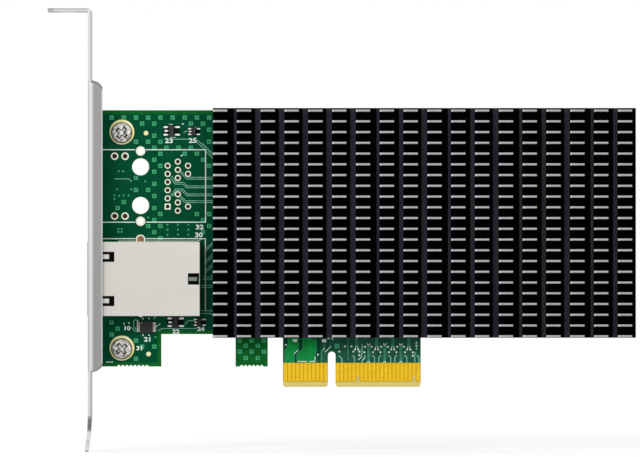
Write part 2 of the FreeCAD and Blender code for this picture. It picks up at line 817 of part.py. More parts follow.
def make_jack_shell():
    """A folded metal cover, open at the front and towards the board."""
    bottom = "jack_centre - jack_width / 2"
    outer = block("shell_outer", "-jack_reach", bottom, FACE, "jack_length", "jack_width", "jack_height")
    hollow = block("shell_hollow", "-jack_reach - shell_sheet", f"{bottom} + shell_sheet",
                   f"{FACE} - shell_sheet", "jack_length", "jack_width - 2 * shell_sheet", "jack_height")
    cutters = [hollow]
    for side in (-1, 1):
        cutters.append(centred_block(
            f"spring_window_{side + 1}",
            "-jack_reach + spring_window_rim + spring_window_length / 2",
            f"jack_centre + ({side}) * spring_window_offset", f"{JACK_TOP} - 2 * shell_sheet",
            "spring_window_length", "spring_window_width", "3 * shell_sheet"))
    notch_left = "-jack_reach + jack_length - rear_notch_length"
    cutters.append(block("rear_notch", notch_left, "jack_centre - rear_notch_width / 2",
                         f"{JACK_TOP} - 2 * shell_sheet", "2 * rear_notch_length",
                         "rear_notch_width", "3 * shell_sheet"))
    members = [cut("shell_folded", outer, cutters)]
    for side in (-1, 1):
        # spring finger left in each window, and a solder tab below each side wall
        members.append(block(f"spring_{side + 1}", "-jack_reach + spring_window_rim",
                             f"jack_centre + ({side}) * spring_window_offset - spring_width / 2",
                             f"{JACK_TOP} - shell_sheet", "spring_length", "spring_width", "shell_sheet"))
        tab = f"jack_centre + ({side}) * shield_offset"
        members.append(centred_block(f"shield_tab_{side + 1}", "-peg_reach", tab,
                                     f"-({FACE}) - pin_tail", "shield_tab_width", "shell_sheet",
                                     "board_thickness + pin_tail + 2 * shell_sheet"))
        members.append(block(f"shield_jog_{side + 1}", "-peg_reach - shield_tab_width / 2",
                             f"jack_centre + ({side}) * (jack_width / 2 + shield_offset) / 2"
                             " - (jack_width / 2 - shield_offset + shell_sheet) / 2",
                             f"{FACE} + shell_sheet", "shield_tab_width",
                             "jack_width / 2 - shield_offset + shell_sheet", "shell_sheet"))
    node(fuse("JackShell", members), "jack_shell")


def make_jack_housing():
    """A moulded block with the plug cavity, two light pockets and locating pegs."""
    inner_width = "jack_width - 2 * shell_sheet - 2 * jack_fit"
    top = f"{JACK_TOP} - shell_sheet - jack_fit"
    jog = "2 * shell_sheet + jack_fit"
    front = "-jack_reach"
    moulding = block("housing_block", front, f"jack_centre - ({inner_width}) / 2", FACE,
                     "housing_length", inner_width, f"{top} - ({FACE})")
    floor = f"{FACE} + cavity_floor"
    cutters = [
        block("plug_cavity", f"{front} - cavity_length", "jack_centre - cavity_width / 2", floor,
              "2 * cavity_length", "cavity_width", "cavity_height"),
        block("latch_channel", f"{front} - cavity_length", "jack_centre - latch_width / 2",
              f"{floor} - latch_drop", "2 * cavity_length", "latch_width", "2 * latch_drop"),
    ]
    for side in (-1, 1):
        cutters.append(centred_block(
            f"light_pocket_{side + 1}", front, f"jack_centre + ({side}) * light_offset",
            f"{FACE} + light_rise", "2 * light_length", "light_width", "light_height"))
        # clearance for the shell's jogged solder tab
        cutters.append(centred_block(
            f"tab_relief_{side + 1}", "-peg_reach", f"jack_centre + ({side}) * jack_width / 2",
            FACE, "shield_tab_width + 4 * jack_fit",
            f"2 * (jack_width / 2 - shield_offset + {jog})", f"{jog} + shell_sheet"))
    hollowed = cut("housing_hollowed", moulding, cutters)
    pegs = doc.addObject("PartDesign::Body", "JackPegs")
    for side in (-1, 1):
        peg = new_sketch(pegs, f"peg_{side + 1}_sketch", shift=f"-({FACE})")
        add_drilling(peg, "-peg_reach", f"jack_centre + ({side}) * peg_offset",
                     "peg_hole - 2 * peg_clearance", PEG_SIDES)
        pegs.AllowCompound = True
        pad(pegs, f"peg_{side + 1}", peg, "board_thickness")
    node(fuse("JackHousing", [hollowed, pegs]), "jack_housing")


def make_jack_lights():
    for side, label in ((1, "jack_light_upper"), (-1, "jack_light_lower")):
        light = block(f"Light{side + 1}", "-jack_reach",
                      f"jack_centre + ({side}) * light_offset - light_width / 2 + jack_fit",
                      f"{FACE} + light_rise + jack_fit", "light_length - jack_fit",
                      "light_width - 2 * jack_fit", "light_height - 2 * jack_fit")
        node(light, label)


def make_jack_wires():
    """Eight spring wires that run under the cavity's roof and fold back down."""
    roof = f"{FACE} + cavity_floor + cavity_height"
    root = "-jack_reach + cavity_length"
    wires = []
    for number in range(8):
        body = doc.addObject("PartDesign::Body", f"JackWire{number}")
        centre = f"jack_centre + ({2 * number - 7}) / 2 * wire_pitch"
        side = new_sketch(body, f"wire_{number}_sketch", role="XY_Plane",
                          shift=f"{centre} - wire_width / 2")
        add_outline(side, [
            (root, f"-({roof})"),
            (f"{root} - wire_reach", f"-({roof})"),
            (f"{root} - wire_reach + wire_return", f"-({roof}) + wire_drop"),
            (f"{root} - wire_reach + wire_return", f"-({roof}) + wire_drop - wire_thickness"),
            (f"{root} - wire_reach + 2 * wire_return * wire_thickness / wire_drop",
             f"-({roof}) + wire_thickness"),
            (root, f"-({roof}) + wire_thickness"),
        ])
        pad(body, f"wire_{number}", side, "wire_width")
        wires.append(body)
    group("jack_contact_wires", wires)


def make_jack_inside():
    """The block of isolating coils behind the housing, and the pins below it."""
    inner_width = "jack_width - 2 * shell_sheet - 2 * jack_fit"
    top = f"{JACK_TOP} - shell_sheet - jack_fit"
    left = "-jack_reach + housing_length + jack_fit"
    coils = block("CoilBlock", left, f"jack_centre - ({inner_width}) / 2", FACE,
                  "jack_length - housing_length - shell_sheet - 2 * jack_fit", inner_width,
                  f"{top} - ({FACE})")
    node(coils, "jack_coil_block")
    pins = []
    places = list(signal_pin_places("jack_centre")) + list(light_pin_places("jack_centre"))
    for number, (across, up) in enumerate(places):
        pins.append(centred_block(f"pin_{number}", across, up, f"-({FACE}) - pin_tail", "pin_side",
                                  "pin_side", "board_thickness + pin_tail"))
    group("jack_pins", pins)


# ------------------------------------------------------------ small components

def lead_row(name, across, up, count, pitch, depth=FACE):
    """Flat leads in an upright row, centred on a place."""
    leads = []
    for step in range(count):
        rise = f"({2 * step - count + 1}) / 2 * {pitch}"
        leads.append(centred_block(f"{name}_{step}", across, f"{up} + {rise}", depth, "lead_length",
                                   "lead_width", "lead_thickness"))
    return leads


def make_protectors():
    """Four surge protectors beside the socket places, three leads left and two right."""
    upper = "board_top - upper_protector_drop"
    lower = "board_shoulder + lower_protector_rise"
    places = [
        ("-upper_protector_reach", upper),
        ("-upper_protector_reach + upper_protector_step", upper),
        ("-lower_protector_reach", lower),
        ("-lower_protector_reach + lower_protector_step", lower),
    ]
    bodies = []
    leads = []
    half = "protector_width / 2 + lead_length / 2"
    for number, (across, up) in enumerate(places):
        bodies.append(centred_block(f"protector_{number}", across, up, FACE, "protector_width",
                                    "protector_height", "chip_thickness"))
        leads += lead_row(f"protector_left_{number}", f"{across} - ({half})", up, 3,
                          "protector_lead_pitch")
        leads += lead_row(f"protector_right_{number}", f"{across} + ({half})", up, 2,
                          "2 * protector_lead_pitch")
    group("surge_protector_bodies", bodies)
    group("surge_protector_leads", leads)


def make_control_chip():
    across = "-control_chip_reach"
    up = "board_shoulder + control_chip_rise"
    chip = centred_block("ControlChip", across, up, FACE, "control_chip_side", "control_chip_side",
                         "chip_thickness")
    node(chip, "control_chip_body")
    reach = "control_chip_side / 2 + lead_length / 2"
    leads = lead_row("control_left", f"{across} - ({reach})", up, 5, "control_lead_pitch")
    leads += lead_row("control_right", f"{across} + ({reach})", up, 5, "control_lead_pitch")
    group("control_chip_leads", leads)


def make_hidden_parts():
    """The memory, supply and timing parts under the heat sink, and the small ones behind it."""
    memory = centred_block("Memory", "memory_across", "memory_up", FACE, "memory_width",
                           "memory_height", "memory_thickness")
    node(memory, "flash_memory")
    coils = [centred_block(f"coil_{step}", "coil_across", f"lower_coil_up + {step} * coil_step", FACE,
                           "coil_side", "coil_side", "coil_thickness") for step in range(2)]
    group("power_coils", coils)
    stores = [centred_block(f"store_{step}", "supply_capacitor_across",
                            f"lowest_supply_capacitor_up + {step} * supply_capacitor_step", FACE,
                            "supply_capacitor_length", "supply_capacitor_width",
                            "supply_capacitor_thickness") for step in range(3)]
    group("supply_capacitors", stores)
    regulator = centred_block("Regulator", "regulator_across", "regulator_up", FACE,
                              "regulator_side", "regulator_side", "regulator_thickness")
    node(regulator, "voltage_regulator")
    crystal = centred_block("Crystal", "crystal_across", "crystal_up", FACE, "crystal_width",
                            "crystal_height", "crystal_thickness")
    node(crystal, "timing_crystal")
    behind = f"-({FACE}) - ceramic_thickness"
    ceramics = [centred_block(f"ceramic_{column}_{row}",
                              f"controller_reach + ({column}) * ceramic_column_step",
                              f"controller_height + ({row}) * ceramic_row_step", behind,
                              "ceramic_length", "ceramic_width", "ceramic_thickness")
                for column in (-1, 0, 1) for row in (-1, 1)]
    group("ceramic_capacitors", ceramics)


def write_nodes():
    doc.recompute()
    for item in doc.Objects:
        if "Invalid" in item.State or "Error" in item.State:
            raise RuntimeError(f"{item.Name} failed: {item.State}")
    os.makedirs("parts", exist_ok=True)
    for item in nodes:
        if item.Shape.isNull() or not item.Shape.isValid():
            raise RuntimeError(f"{item.Label} has no sound shape")
    for item in nodes:
        item.Shape.exportStep(f"parts/{item.Label}.step")


make_circuit_board()
group("edge_fingers_front", finger_solids("front", (5, 19)))
group("edge_fingers_back", finger_solids("back", (5, 16)))
make_bracket()
make_bracket_screws()
make_heat_sink()
make_sink_screws()
make_sink_standoffs()
make_controller()
make_jack_shell()
make_jack_housing()
make_jack_lights()
make_jack_wires()
make_jack_inside()
make_control_chip()
make_protectors()
make_hidden_parts()
write_nodes()
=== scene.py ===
import math
import bpy
import bmesh
from mathutils import Matrix, Vector


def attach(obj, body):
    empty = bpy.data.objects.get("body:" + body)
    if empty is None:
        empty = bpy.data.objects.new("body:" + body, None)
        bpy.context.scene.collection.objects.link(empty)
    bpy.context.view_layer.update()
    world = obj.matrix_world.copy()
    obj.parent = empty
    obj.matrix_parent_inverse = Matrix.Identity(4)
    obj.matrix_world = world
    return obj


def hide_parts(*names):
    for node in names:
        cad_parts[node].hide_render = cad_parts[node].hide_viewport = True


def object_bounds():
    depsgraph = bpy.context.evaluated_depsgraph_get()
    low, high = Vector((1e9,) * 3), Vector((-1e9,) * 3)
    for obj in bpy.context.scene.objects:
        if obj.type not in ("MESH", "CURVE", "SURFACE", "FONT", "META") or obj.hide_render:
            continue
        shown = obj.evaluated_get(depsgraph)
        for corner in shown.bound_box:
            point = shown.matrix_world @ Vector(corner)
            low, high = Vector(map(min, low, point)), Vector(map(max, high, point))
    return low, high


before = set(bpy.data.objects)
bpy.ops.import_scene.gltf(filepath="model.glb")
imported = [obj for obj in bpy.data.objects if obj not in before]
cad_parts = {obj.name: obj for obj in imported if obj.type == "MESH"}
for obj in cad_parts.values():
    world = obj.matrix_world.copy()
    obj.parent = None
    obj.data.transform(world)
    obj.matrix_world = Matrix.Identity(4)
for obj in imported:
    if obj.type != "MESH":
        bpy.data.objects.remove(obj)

# A network card that stands in its slot: X along the board away from the bracket, Z up,
# component side towards -Y. Lengths are millimetres. "Across" is a place along the board, "up" is
# its height, and "depth" is its distance from the board's middle towards the component side.

MM = 0.001
cad_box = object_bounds()

FACE = 0.785  # from the board's middle to either face
FRONT, BACK = 1, -1  # the board's sides

# Heights above a face of the board, where the films on it start and end
OTHER_FACE = -2 * FACE
PLUG_TOP = -0.15
TAB_MASK_TOP = 0.018
MASK_TOP = 0.02
SHADE_TOP = 0.024
CORE_TOP = 0.03
POUR_TOP = 0.035
ON_POUR = 0.036
TRACK_TOP = 0.04
RIM_TOP = 0.045
ON_RIM = 0.046
DISC_TOP = 0.05
HIGHLIGHT_TOP = 0.052
INK_TOP = 0.055
SOLDER_TOP = 0.06
RING_EDGE_TOP = 0.065
PAD_TOP = 0.07

JACK_CENTRE = 26.94  # the height of the fitted socket's middle
OPEN_CENTRE = 50.0  # and of the socket place left open
SCREWS = [(-52.3, 63.3), (-52.3, 9.5)]
CONTROL_CHIP = (-46.15, 14.91)
# Place of each surge protector, and its size against the larger kind
PROTECTORS = [(-39.9, 63.75, 1.0), (-34.3, 63.6, 0.74), (-38.9, 16.11, 1.0), (-32.9, 16.11, 0.74)]
SINK_EDGE = -29.4  # where the tracks go under the heat sink
FIN_LEFT, FIN_PITCH = -29.46, 5.91
FIN_BOTTOM, FIN_ROW_PITCH = 12.37, 2.666
FLANGE_BOTTOM, FLANGE_TOP = 3.83, 76.17
DROOP_CENTRE, DROOP_RADIUS = -59.61, 3.1  # the arc in which the flange's ends fall away
VIEW_WIDTH, VIEW_CENTRE = 159.36, (-2.92, 39.45)

EVEN = (1, 1, 1)
DRAWN = (1, 1, 0.04)  # the grain of a sheet drawn along its length
MASK_SHINE = 0.02


# ---- shader groups

VECTORS = "ShaderNodeVectorMath"


def linear(colour):
    """A colour on the 0 to 255 scale, as light."""
    def channel(value):
        value = value / 255
        return value / 12.92 if value <= 0.04045 else ((value + 0.055) / 1.055) ** 2.4
    return (*map(channel, colour), 1.0)


def maths(tree, operation, first, second, kind="ShaderNodeMath", output=0):
    """A sum of two values, each of them a socket or plain numbers."""
    node = tree.nodes.new(kind)
    node.operation = operation
    for socket, value in zip(node.inputs, (first, second)):
        if isinstance(value, bpy.types.NodeSocket):
            tree.links.new(value, socket)
        else:
            socket.default_value = value
    return node.outputs[output]


def mixed(tree, mask, under, over):
    """One colour laid over another where the mask is one."""
    mix = tree.nodes.new("ShaderNodeMix")
    mix.data_type = "RGBA"
    tree.links.new(mask, mix.inputs["Factor"])
    tree.links.new(under, mix.inputs["A"])
    tree.links.new(over, mix.inputs["B"])
    return mix.outputs["Result"]


def new_group(name, inputs, outputs):
    group = bpy.data.node_groups.new(name, "ShaderNodeTree")
    for label, kind, value in inputs:
        socket = group.interface.new_socket(label, in_out="INPUT", socket_type=kind)
        socket.default_value = value
    for label, kind in outputs:
        group.interface.new_socket(label, in_out="OUTPUT", socket_type=kind)
    given = group.nodes.new("NodeGroupInput").outputs
    return group, given, group.nodes.new("NodeGroupOutput").inputs


def mottle_group():
    """Two colours mixed by a stretched noise, with the noise itself as a height."""
    group, given, result = new_group(
        "mottle",
        [("Colour", "NodeSocketColor", (0.5, 0.5, 0.5, 1)),
         ("Other", "NodeSocketColor", (0.4, 0.4, 0.4, 1)),
         ("Stretch", "NodeSocketVector", EVEN),
         ("Scale", "NodeSocketFloat", 400.0)],
        [("Colour", "NodeSocketColor"), ("Height", "NodeSocketFloat")])
    link = group.links.new
    place = group.nodes.new("ShaderNodeTexCoord")
    stretched = maths(group, "MULTIPLY", place.outputs["Object"], given["Stretch"], VECTORS)
    noise = group.nodes.new("ShaderNodeTexNoise")
    noise.inputs["Detail"].default_value = 5.0
    spread = group.nodes.new("ShaderNodeMapRange")
    spread.inputs["From Min"].default_value = 0.3
    spread.inputs["From Max"].default_value = 0.7
    link(stretched, noise.inputs["Vector"])
    link(given["Scale"], noise.inputs["Scale"])
    link(noise.outputs["Fac"], spread.inputs["Value"])
    both = mixed(group, spread.outputs["Result"], given["Colour"], given["Other"])
    link(both, result["Colour"])
    link(noise.outputs["Fac"], result["Height"])
    return group


def band_group():
    """A mask that is one where a value lies between two limits."""
    group, given, result = new_group(
        "band",
        [("Value", "NodeSocketFloat", 0.0), ("Low", "NodeSocketFloat", 0.0),
         ("High", "NodeSocketFloat", 1.0)],
        [("Mask", "NodeSocketFloat")])
    above = maths(group, "GREATER_THAN", given["Value"], given["Low"])
    below = maths(group, "LESS_THAN", given["Value"], given["High"])
    group.links.new(maths(group, "MULTIPLY", above, below), result["Mask"])
    return group


MOTTLE = mottle_group()
BAND = band_group()


class Finish:
    """One material, and the nodes that its colour runs through."""

    def __init__(self, name, colour, other, scale=400.0, stretch=EVEN, rough=0.5, metal=0.0,
                 bump=0.0, bump_depth=0.00002, coat=0.0, specular=0.5):
        self.material = bpy.data.materials.new(name)
        self.material.use_nodes = True
        self.tree = self.material.node_tree
        self.link = self.tree.links.new
        self.shader = self.tree.nodes["Principled BSDF"].inputs
        self.axes = None
        for socket, value in (("Roughness", rough), ("Metallic", metal), ("Coat Weight", coat),
                              ("Coat Roughness", 0.15), ("Specular IOR Level", specular)):
            self.shader[socket].default_value = value
        mottle = self.mottle(colour, other, scale, stretch)
        if bump:
            raised = self.tree.nodes.new("ShaderNodeBump")
            raised.inputs["Strength"].default_value = bump
            raised.inputs["Distance"].default_value = bump_depth
            self.link(mottle["Height"], raised.inputs["Height"])
            self.link(raised.outputs["Normal"], self.shader["Normal"])
        self.colour = mottle["Colour"]
        self.link(self.colour, self.shader["Base Color"])

    def mottle(self, colour, other, scale, stretch):
        node = self.tree.nodes.new("ShaderNodeGroup")
        node.node_tree = MOTTLE
        node.inputs["Colour"].default_value = linear(colour)
        node.inputs["Other"].default_value = linear(other)
        node.inputs["Scale"].default_value = scale
        node.inputs["Stretch"].default_value = stretch
        return node.outputs

    def coordinate(self, axis):
        """One coordinate of the surface, in metres, in the card's own frame."""
        if not self.axes:
            place = self.tree.nodes.new("ShaderNodeTexCoord")
            split = self.tree.nodes.new("ShaderNodeSeparateXYZ")
            self.link(place.outputs["Object"], split.inputs[0])
            self.axes = split.outputs
        return self.axes[axis]

    def band(self, value, low, high):
        node = self.tree.nodes.new("ShaderNodeGroup")
        node.node_tree = BAND
        node.inputs["Low"].default_value = low * MM
        node.inputs["High"].default_value = high * MM
        self.link(value, node.inputs["Value"])
        return node.outputs["Mask"]

    def all_of(self, *masks):
        result = masks[0]
        for mask in masks[1:]:
            result = maths(self.tree, "MULTIPLY", result, mask)
        return result

    def box(self, across=None, up=None, depth=None):
        """A mask that is one between limits along the card's own directions."""
        masks = [self.band(self.coordinate(axis), *limits)
                 for axis, limits in (("X", across), ("Z", up)) if limits]
        if depth:
            masks.append(self.band(self.coordinate("Y"), -depth[1], -depth[0]))
        return self.all_of(*masks)

    def wrapped(self, axis, start, pitch):
        """A coordinate that starts again at every pitch."""
        shifted = maths(self.tree, "SUBTRACT", self.coordinate(axis), start * MM)
        return maths(self.tree, "FLOORED_MODULO", shifted, pitch * MM)

    def reach(self, across, up):
        """How far the surface is from an axis that stands on the card, in metres."""
        place = self.tree.nodes.new("ShaderNodeTexCoord")
        flat = maths(self.tree, "MULTIPLY", place.outputs["Object"], (1, 0, 1), VECTORS)
        axis = (across * MM, 0, up * MM)
        return maths(self.tree, "DISTANCE", flat, axis, VECTORS, "Value")

    def paint(self, mask, colour, other=None, scale=400.0, stretch=EVEN):
        """Lays another mottled colour over the one so far, where the mask is one."""
        over = self.mottle(colour, other or colour, scale, stretch)
        self.colour = mixed(self.tree, mask, self.colour, over["Colour"])
        self.link(self.colour, self.shader["Base Color"])

    def set_by(self, mask, socket, off, on):
        """A shader value that is one number outside the mask and another inside it."""
        spread = self.tree.nodes.new("ShaderNodeMapRange")
        spread.inputs["To Min"].default_value = off
        spread.inputs["To Max"].default_value = on
        self.link(mask, spread.inputs["Value"])
        self.link(spread.outputs["Result"], self.shader[socket])


# ---- finishes

def laminate_finish():
    """Bright green mask over bare laminate, gold between the contacts, pale bevelled tips."""
    finish = Finish("green_laminate", (18, 108, 44), (12, 95, 37), 900, bump=0.1,
                    specular=MASK_SHINE)
    tab = (-12.2, 22.2)
    bevel_top, contact_top = 1.3, 6.0
    contacts = finish.box(across=tab, up=(bevel_top, contact_top))
    finish.paint(contacts, (214, 166, 14), (226, 182, 22), 700)
    dashes = finish.band(finish.wrapped("X", 0.15, 1.0), 0.0, 0.62)
    feet = finish.all_of(finish.box(across=tab, up=(bevel_top, 1.52)), dashes)
    finish.paint(feet, (150, 122, 34))
    for short in (6.5, 20.5):
        bare = finish.box(across=(short - 0.4, short + 0.4), up=(bevel_top, 2.62))
        finish.paint(bare, (224, 206, 128), (214, 196, 116), 900)
    bevel = finish.box(across=tab, up=(-0.1, bevel_top))
    finish.paint(bevel, (238, 220, 138), (224, 204, 116), 900, (1, 1, 6))
    return finish


def bracket_finish():
    """Plated sheet drawn along its length, with painted shade and painted highlights on the flange,
    bend, fold, edges and tongue.
    """
    sheet_scale = 260
    finish = Finish("nickel_plated_sheet", (190, 190, 191), (184, 184, 185), sheet_scale, DRAWN,
                    rough=0.42, metal=0.3, bump=0.02, bump_depth=0.00001)
    front = (14.8, 15.8)
    edge = (-60.6, -59.95)
    flange = (FLANGE_BOTTOM, FLANGE_TOP)
    # painted light and shade: limits across, up and in depth, then the lighter and the darker
    # colour and the grain
    painted_shading = [
        # painted shade and painted light in bands along the plate's front edge
        ((-60.16, -59.7), None, front, (166, 166, 167), None, DRAWN),
        ((-59.7, -59), None, front, (190, 190, 191), None, DRAWN),
        (edge, None, front, (199, 199, 200), (193, 193, 194), DRAWN),
        (edge, (-8, FLANGE_BOTTOM), front, (206, 206, 207), (200, 200, 201), DRAWN),
        # painted shade along the top of the fold
        (None, (93.75, 94.2), front, (164, 164, 165), None, DRAWN),
        # painted shade on the tongue's shoulder, then painted light lower down and a painted
        # highlight near the tip
        (None, (-10.9, -7.7), None, (146, 146, 147), (132, 132, 133), EVEN),
        (None, (-16.5, -10.9), None, (214, 214, 215), (206, 206, 207), EVEN),
        (None, (-16.5, -13.6), None, (236, 236, 236), (226, 226, 226), EVEN),
        (None, (-15.6, -14.7), None, (255, 255, 255), None, EVEN),
        # painted shade on the flange's face
        ((-59.5, -56.8), flange, front, (139, 138, 137), (132, 131, 130), DRAWN),
    ]
    # painted highlight along the bend into the flange, falling off into painted shade, and a
    # painted highlight along the flange's free edge
    for left, right, shade in ((-60.7, -60.3, 176), (-60.3, -60.0, 190), (-60.0, -59.55, 206),
                               (-59.55, -59.3, 186), (-59.3, -59.05, 158), (-57.1, -56.8, 184)):
        painted_shading.append(((left, right), flange, front, (shade, shade, shade),
                      (shade - 5, shade - 5, shade - 4), DRAWN))
    for across, up, depth, colour, other, grain in painted_shading:
        finish.paint(finish.box(across, up, depth), colour, other, sheet_scale, grain)
    # painted shade in a crescent at each end of the flange, where it falls away
    upper = FLANGE_TOP - DROOP_RADIUS
    lower = FLANGE_BOTTOM + DROOP_RADIUS
    for centre, side in ((upper - 0.5, (upper, FLANGE_TOP)),
                         (lower + 0.22, (FLANGE_BOTTOM, lower))):
        corner = finish.box(across=(-59.75, -56.8), up=side, depth=front)
        droop_shade = finish.band(finish.reach(DROOP_CENTRE - 0.1, centre),
                             DROOP_RADIUS - 0.08, DROOP_RADIUS + 1.5)
        finish.paint(finish.all_of(corner, droop_shade), (112, 112, 112), (96, 96, 96), 300)
    return finish


def shell_finish():
    """Tin plating, with painted shade in the gaps round the sprung fingers and where the rear notch
    runs out.
    """
    finish = Finish("tin_plated_shell", (211, 208, 200), (205, 202, 194), 160, (0.2, 1, 1),
                    rough=0.55, metal=0.1, bump=0.05)
    # painted shade in the gaps round the sprung fingers
    for middle in (JACK_CENTRE - 5.48, JACK_CENTRE + 5.48):
        for low, high in ((-0.78, -0.5), (0.58, 0.78)):
            gap = finish.box(across=(-57, -54.9), up=(middle + low, middle + high),
                             depth=(13.6, 14.1))
            finish.paint(gap, (16, 16, 16))
    # painted shade where the rear notch runs out
    notch = finish.box(across=(-33.6, -32.88), up=(JACK_CENTRE - 1.45, JACK_CENTRE + 1.45),
                       depth=(13.3, 14.1))
    finish.paint(notch, (10, 22, 16))
    return finish


def protector_lead_finish():
    """Tinned leads, with painted shade where they come out of the case."""
    finish = Finish("tinned_lead", (255, 255, 252), (222, 222, 218), 2000, rough=0.35, metal=0.1,
                    bump=0.2)
    for across, up, share in PROTECTORS:
        # painted shade on the leads where they leave the case
        near = finish.box(across=(across - 0.9 * share, across + 0.9 * share),
                          up=(up - 1.3 * share, up + 1.3 * share))
        finish.paint(near, (60, 60, 58))
    return finish


def anodised_finish():
    """Black all over, bright on the milled fin tips; painted light along one side of each channel
    floor, painted shade and highlight on the tips.
    """
    dull, milled = 0.6, 0.34
    finish = Finish("black_anodised_milled", (1, 1, 2), (0, 0, 0), 900, rough=dull, bump=0.1,
                    specular=0.015)
    floor = finish.box(depth=(6.6, 6.9))
    column = finish.wrapped("X", FIN_LEFT, FIN_PITCH)
    three = finish.wrapped("X", FIN_LEFT, 3 * FIN_PITCH)
    middle = finish.box(across=(-24, 6))
    # painted light: a grey strip along one side of each sawn channel's floor, wider in some columns
    lit_strips = [finish.band(column, FIN_PITCH - 0.75, FIN_PITCH - 0.05),
            finish.band(three, 2 * FIN_PITCH - 1.1, 2 * FIN_PITCH - 0.05),
            finish.band(three, 3 * FIN_PITCH - 1.4, 3 * FIN_PITCH - 0.05),
            finish.all_of(middle, finish.band(column, FIN_PITCH - 1.4, FIN_PITCH - 0.05))]
    for lit_strip in lit_strips:
        finish.paint(finish.all_of(floor, lit_strip), (60, 57, 67), (49, 46, 57), 700, (1, 1, 0.1))
    row = finish.wrapped("Z", FIN_BOTTOM, FIN_ROW_PITCH)
    tips = finish.all_of(finish.box(depth=(13.1, 14)), finish.band(row, 0.08, 0.59),
                         finish.band(column, -0.1, 3.52))
    finish.paint(tips, (176, 176, 178), (166, 166, 168), 1400, (0.4, 1, 1))
    # painted shade along the lower edge of each fin tip
    lower_rim_shade = finish.all_of(tips, finish.band(row, 0.0, 0.22))
    finish.paint(lower_rim_shade, (140, 140, 142), (132, 132, 134), 1400)
    # painted highlight at the near end of each fin tip
    near_end_highlight = finish.all_of(tips, finish.band(column, -0.1, 0.4))
    finish.paint(near_end_highlight, (192, 192, 194))
    finish.set_by(tips, "Roughness", dull, milled)
    finish.set_by(tips, "Metallic", 0.0, 0.2)
    return finish


MASK = Finish("dark_mask_over_copper", (2, 84, 54), (1, 75, 47), 420, bump=0.08,
              specular=MASK_SHINE)
TAB_MASK = Finish("teal_mask_near_contacts", (40, 98, 76), (32, 84, 64), 600, bump=0.1,
                  specular=MASK_SHINE)
SHADED = Finish("shaded_mask", (6, 34, 24), (2, 20, 14), 900, specular=MASK_SHINE)
POUR = Finish("bright_mask_pour", (26, 160, 78), (20, 142, 66), 900, bump=0.1,
              specular=MASK_SHINE)
SQUARE = Finish("ground_square", (84, 186, 132), (60, 160, 106), 1500, specular=MASK_SHINE)
SQUARE_CORE = Finish("masked_square", (22, 124, 84), (16, 108, 70), 1500, specular=MASK_SHINE)
TRACE = Finish("mask_over_trace", (160, 218, 190), (112, 184, 152), 900, rough=0.4,
               specular=MASK_SHINE)
LANE = Finish("mask_over_wide_trace", (76, 146, 114), (56, 124, 92), 900, rough=0.4,
              specular=MASK_SHINE)
PALE = Finish("pale_trace_end", (244, 255, 248), (214, 246, 226), 1800, rough=0.4, specular=0.1)
INK = Finish("white_legend_ink", (244, 255, 250), (226, 252, 238), 3000, rough=0.7, specular=0.2)
GOLD = Finish("hard_gold", (250, 206, 20), (240, 192, 12), 500, (1, 1, 3), rough=0.4, metal=0.1,
              bump=0.05, specular=0.25)
PAD = Finish("pale_gold_pad", (252, 255, 246), (240, 252, 220), 2500, rough=0.45, specular=0.2)
RING = Finish("screw_ring_gold", (255, 255, 206), (240, 236, 156), 420, rough=0.4, bump=0.1,
              specular=0.2)
SOLDER = Finish("solder", (255, 255, 255), (246, 248, 246), 3000, rough=0.4, bump=0.1)
# dark brown fill in the open holes and on the pad edges, also painted shade round the screw heads
# and rings
HOLE = Finish("dark_hole_fill_and_painted_shade", (70, 44, 16), (34, 22, 8), 3000, rough=0.7, specular=0.1)
FLUX = Finish("browned_solder", (176, 112, 66), (120, 70, 36), 1400, rough=0.35, bump=0.5)
# nickel, mottled between near white and dark brown as painted glints and painted shade of a
# hammered head
SCREW = Finish("nickel_screw", (255, 253, 246), (56, 50, 42), 1250, rough=0.3, metal=0.3,
               bump=1.0, bump_depth=0.00004)
# painted shade on the walls of the screws' cross recess
RECESS_SHADE = Finish("painted_recess_shade", (26, 22, 18), (12, 10, 8), 1200)
TONGUE = Finish("dull_tongue", (118, 129, 113), (100, 110, 96), 900, (1, 1, 0.2))
MOULDING = Finish("black_moulding", (5, 5, 6), (3, 3, 4), 900, rough=0.6, bump=0.2, specular=0.03)
LAMP = Finish("milky_lamp", (216, 222, 206), (200, 208, 190), 700, rough=0.25, coat=0.4)
CHIP = Finish("moulded_epoxy", (56, 57, 56), (42, 43, 42), 2600, rough=0.6, bump=0.4,
              specular=0.2)
DOT = Finish("pin_one_dot", (120, 121, 118), (100, 101, 98), 3000)
TINNED = Finish("tinned_copper", (250, 250, 246), (214, 214, 208), 2000, rough=0.3, metal=0.2,
                bump=0.2)

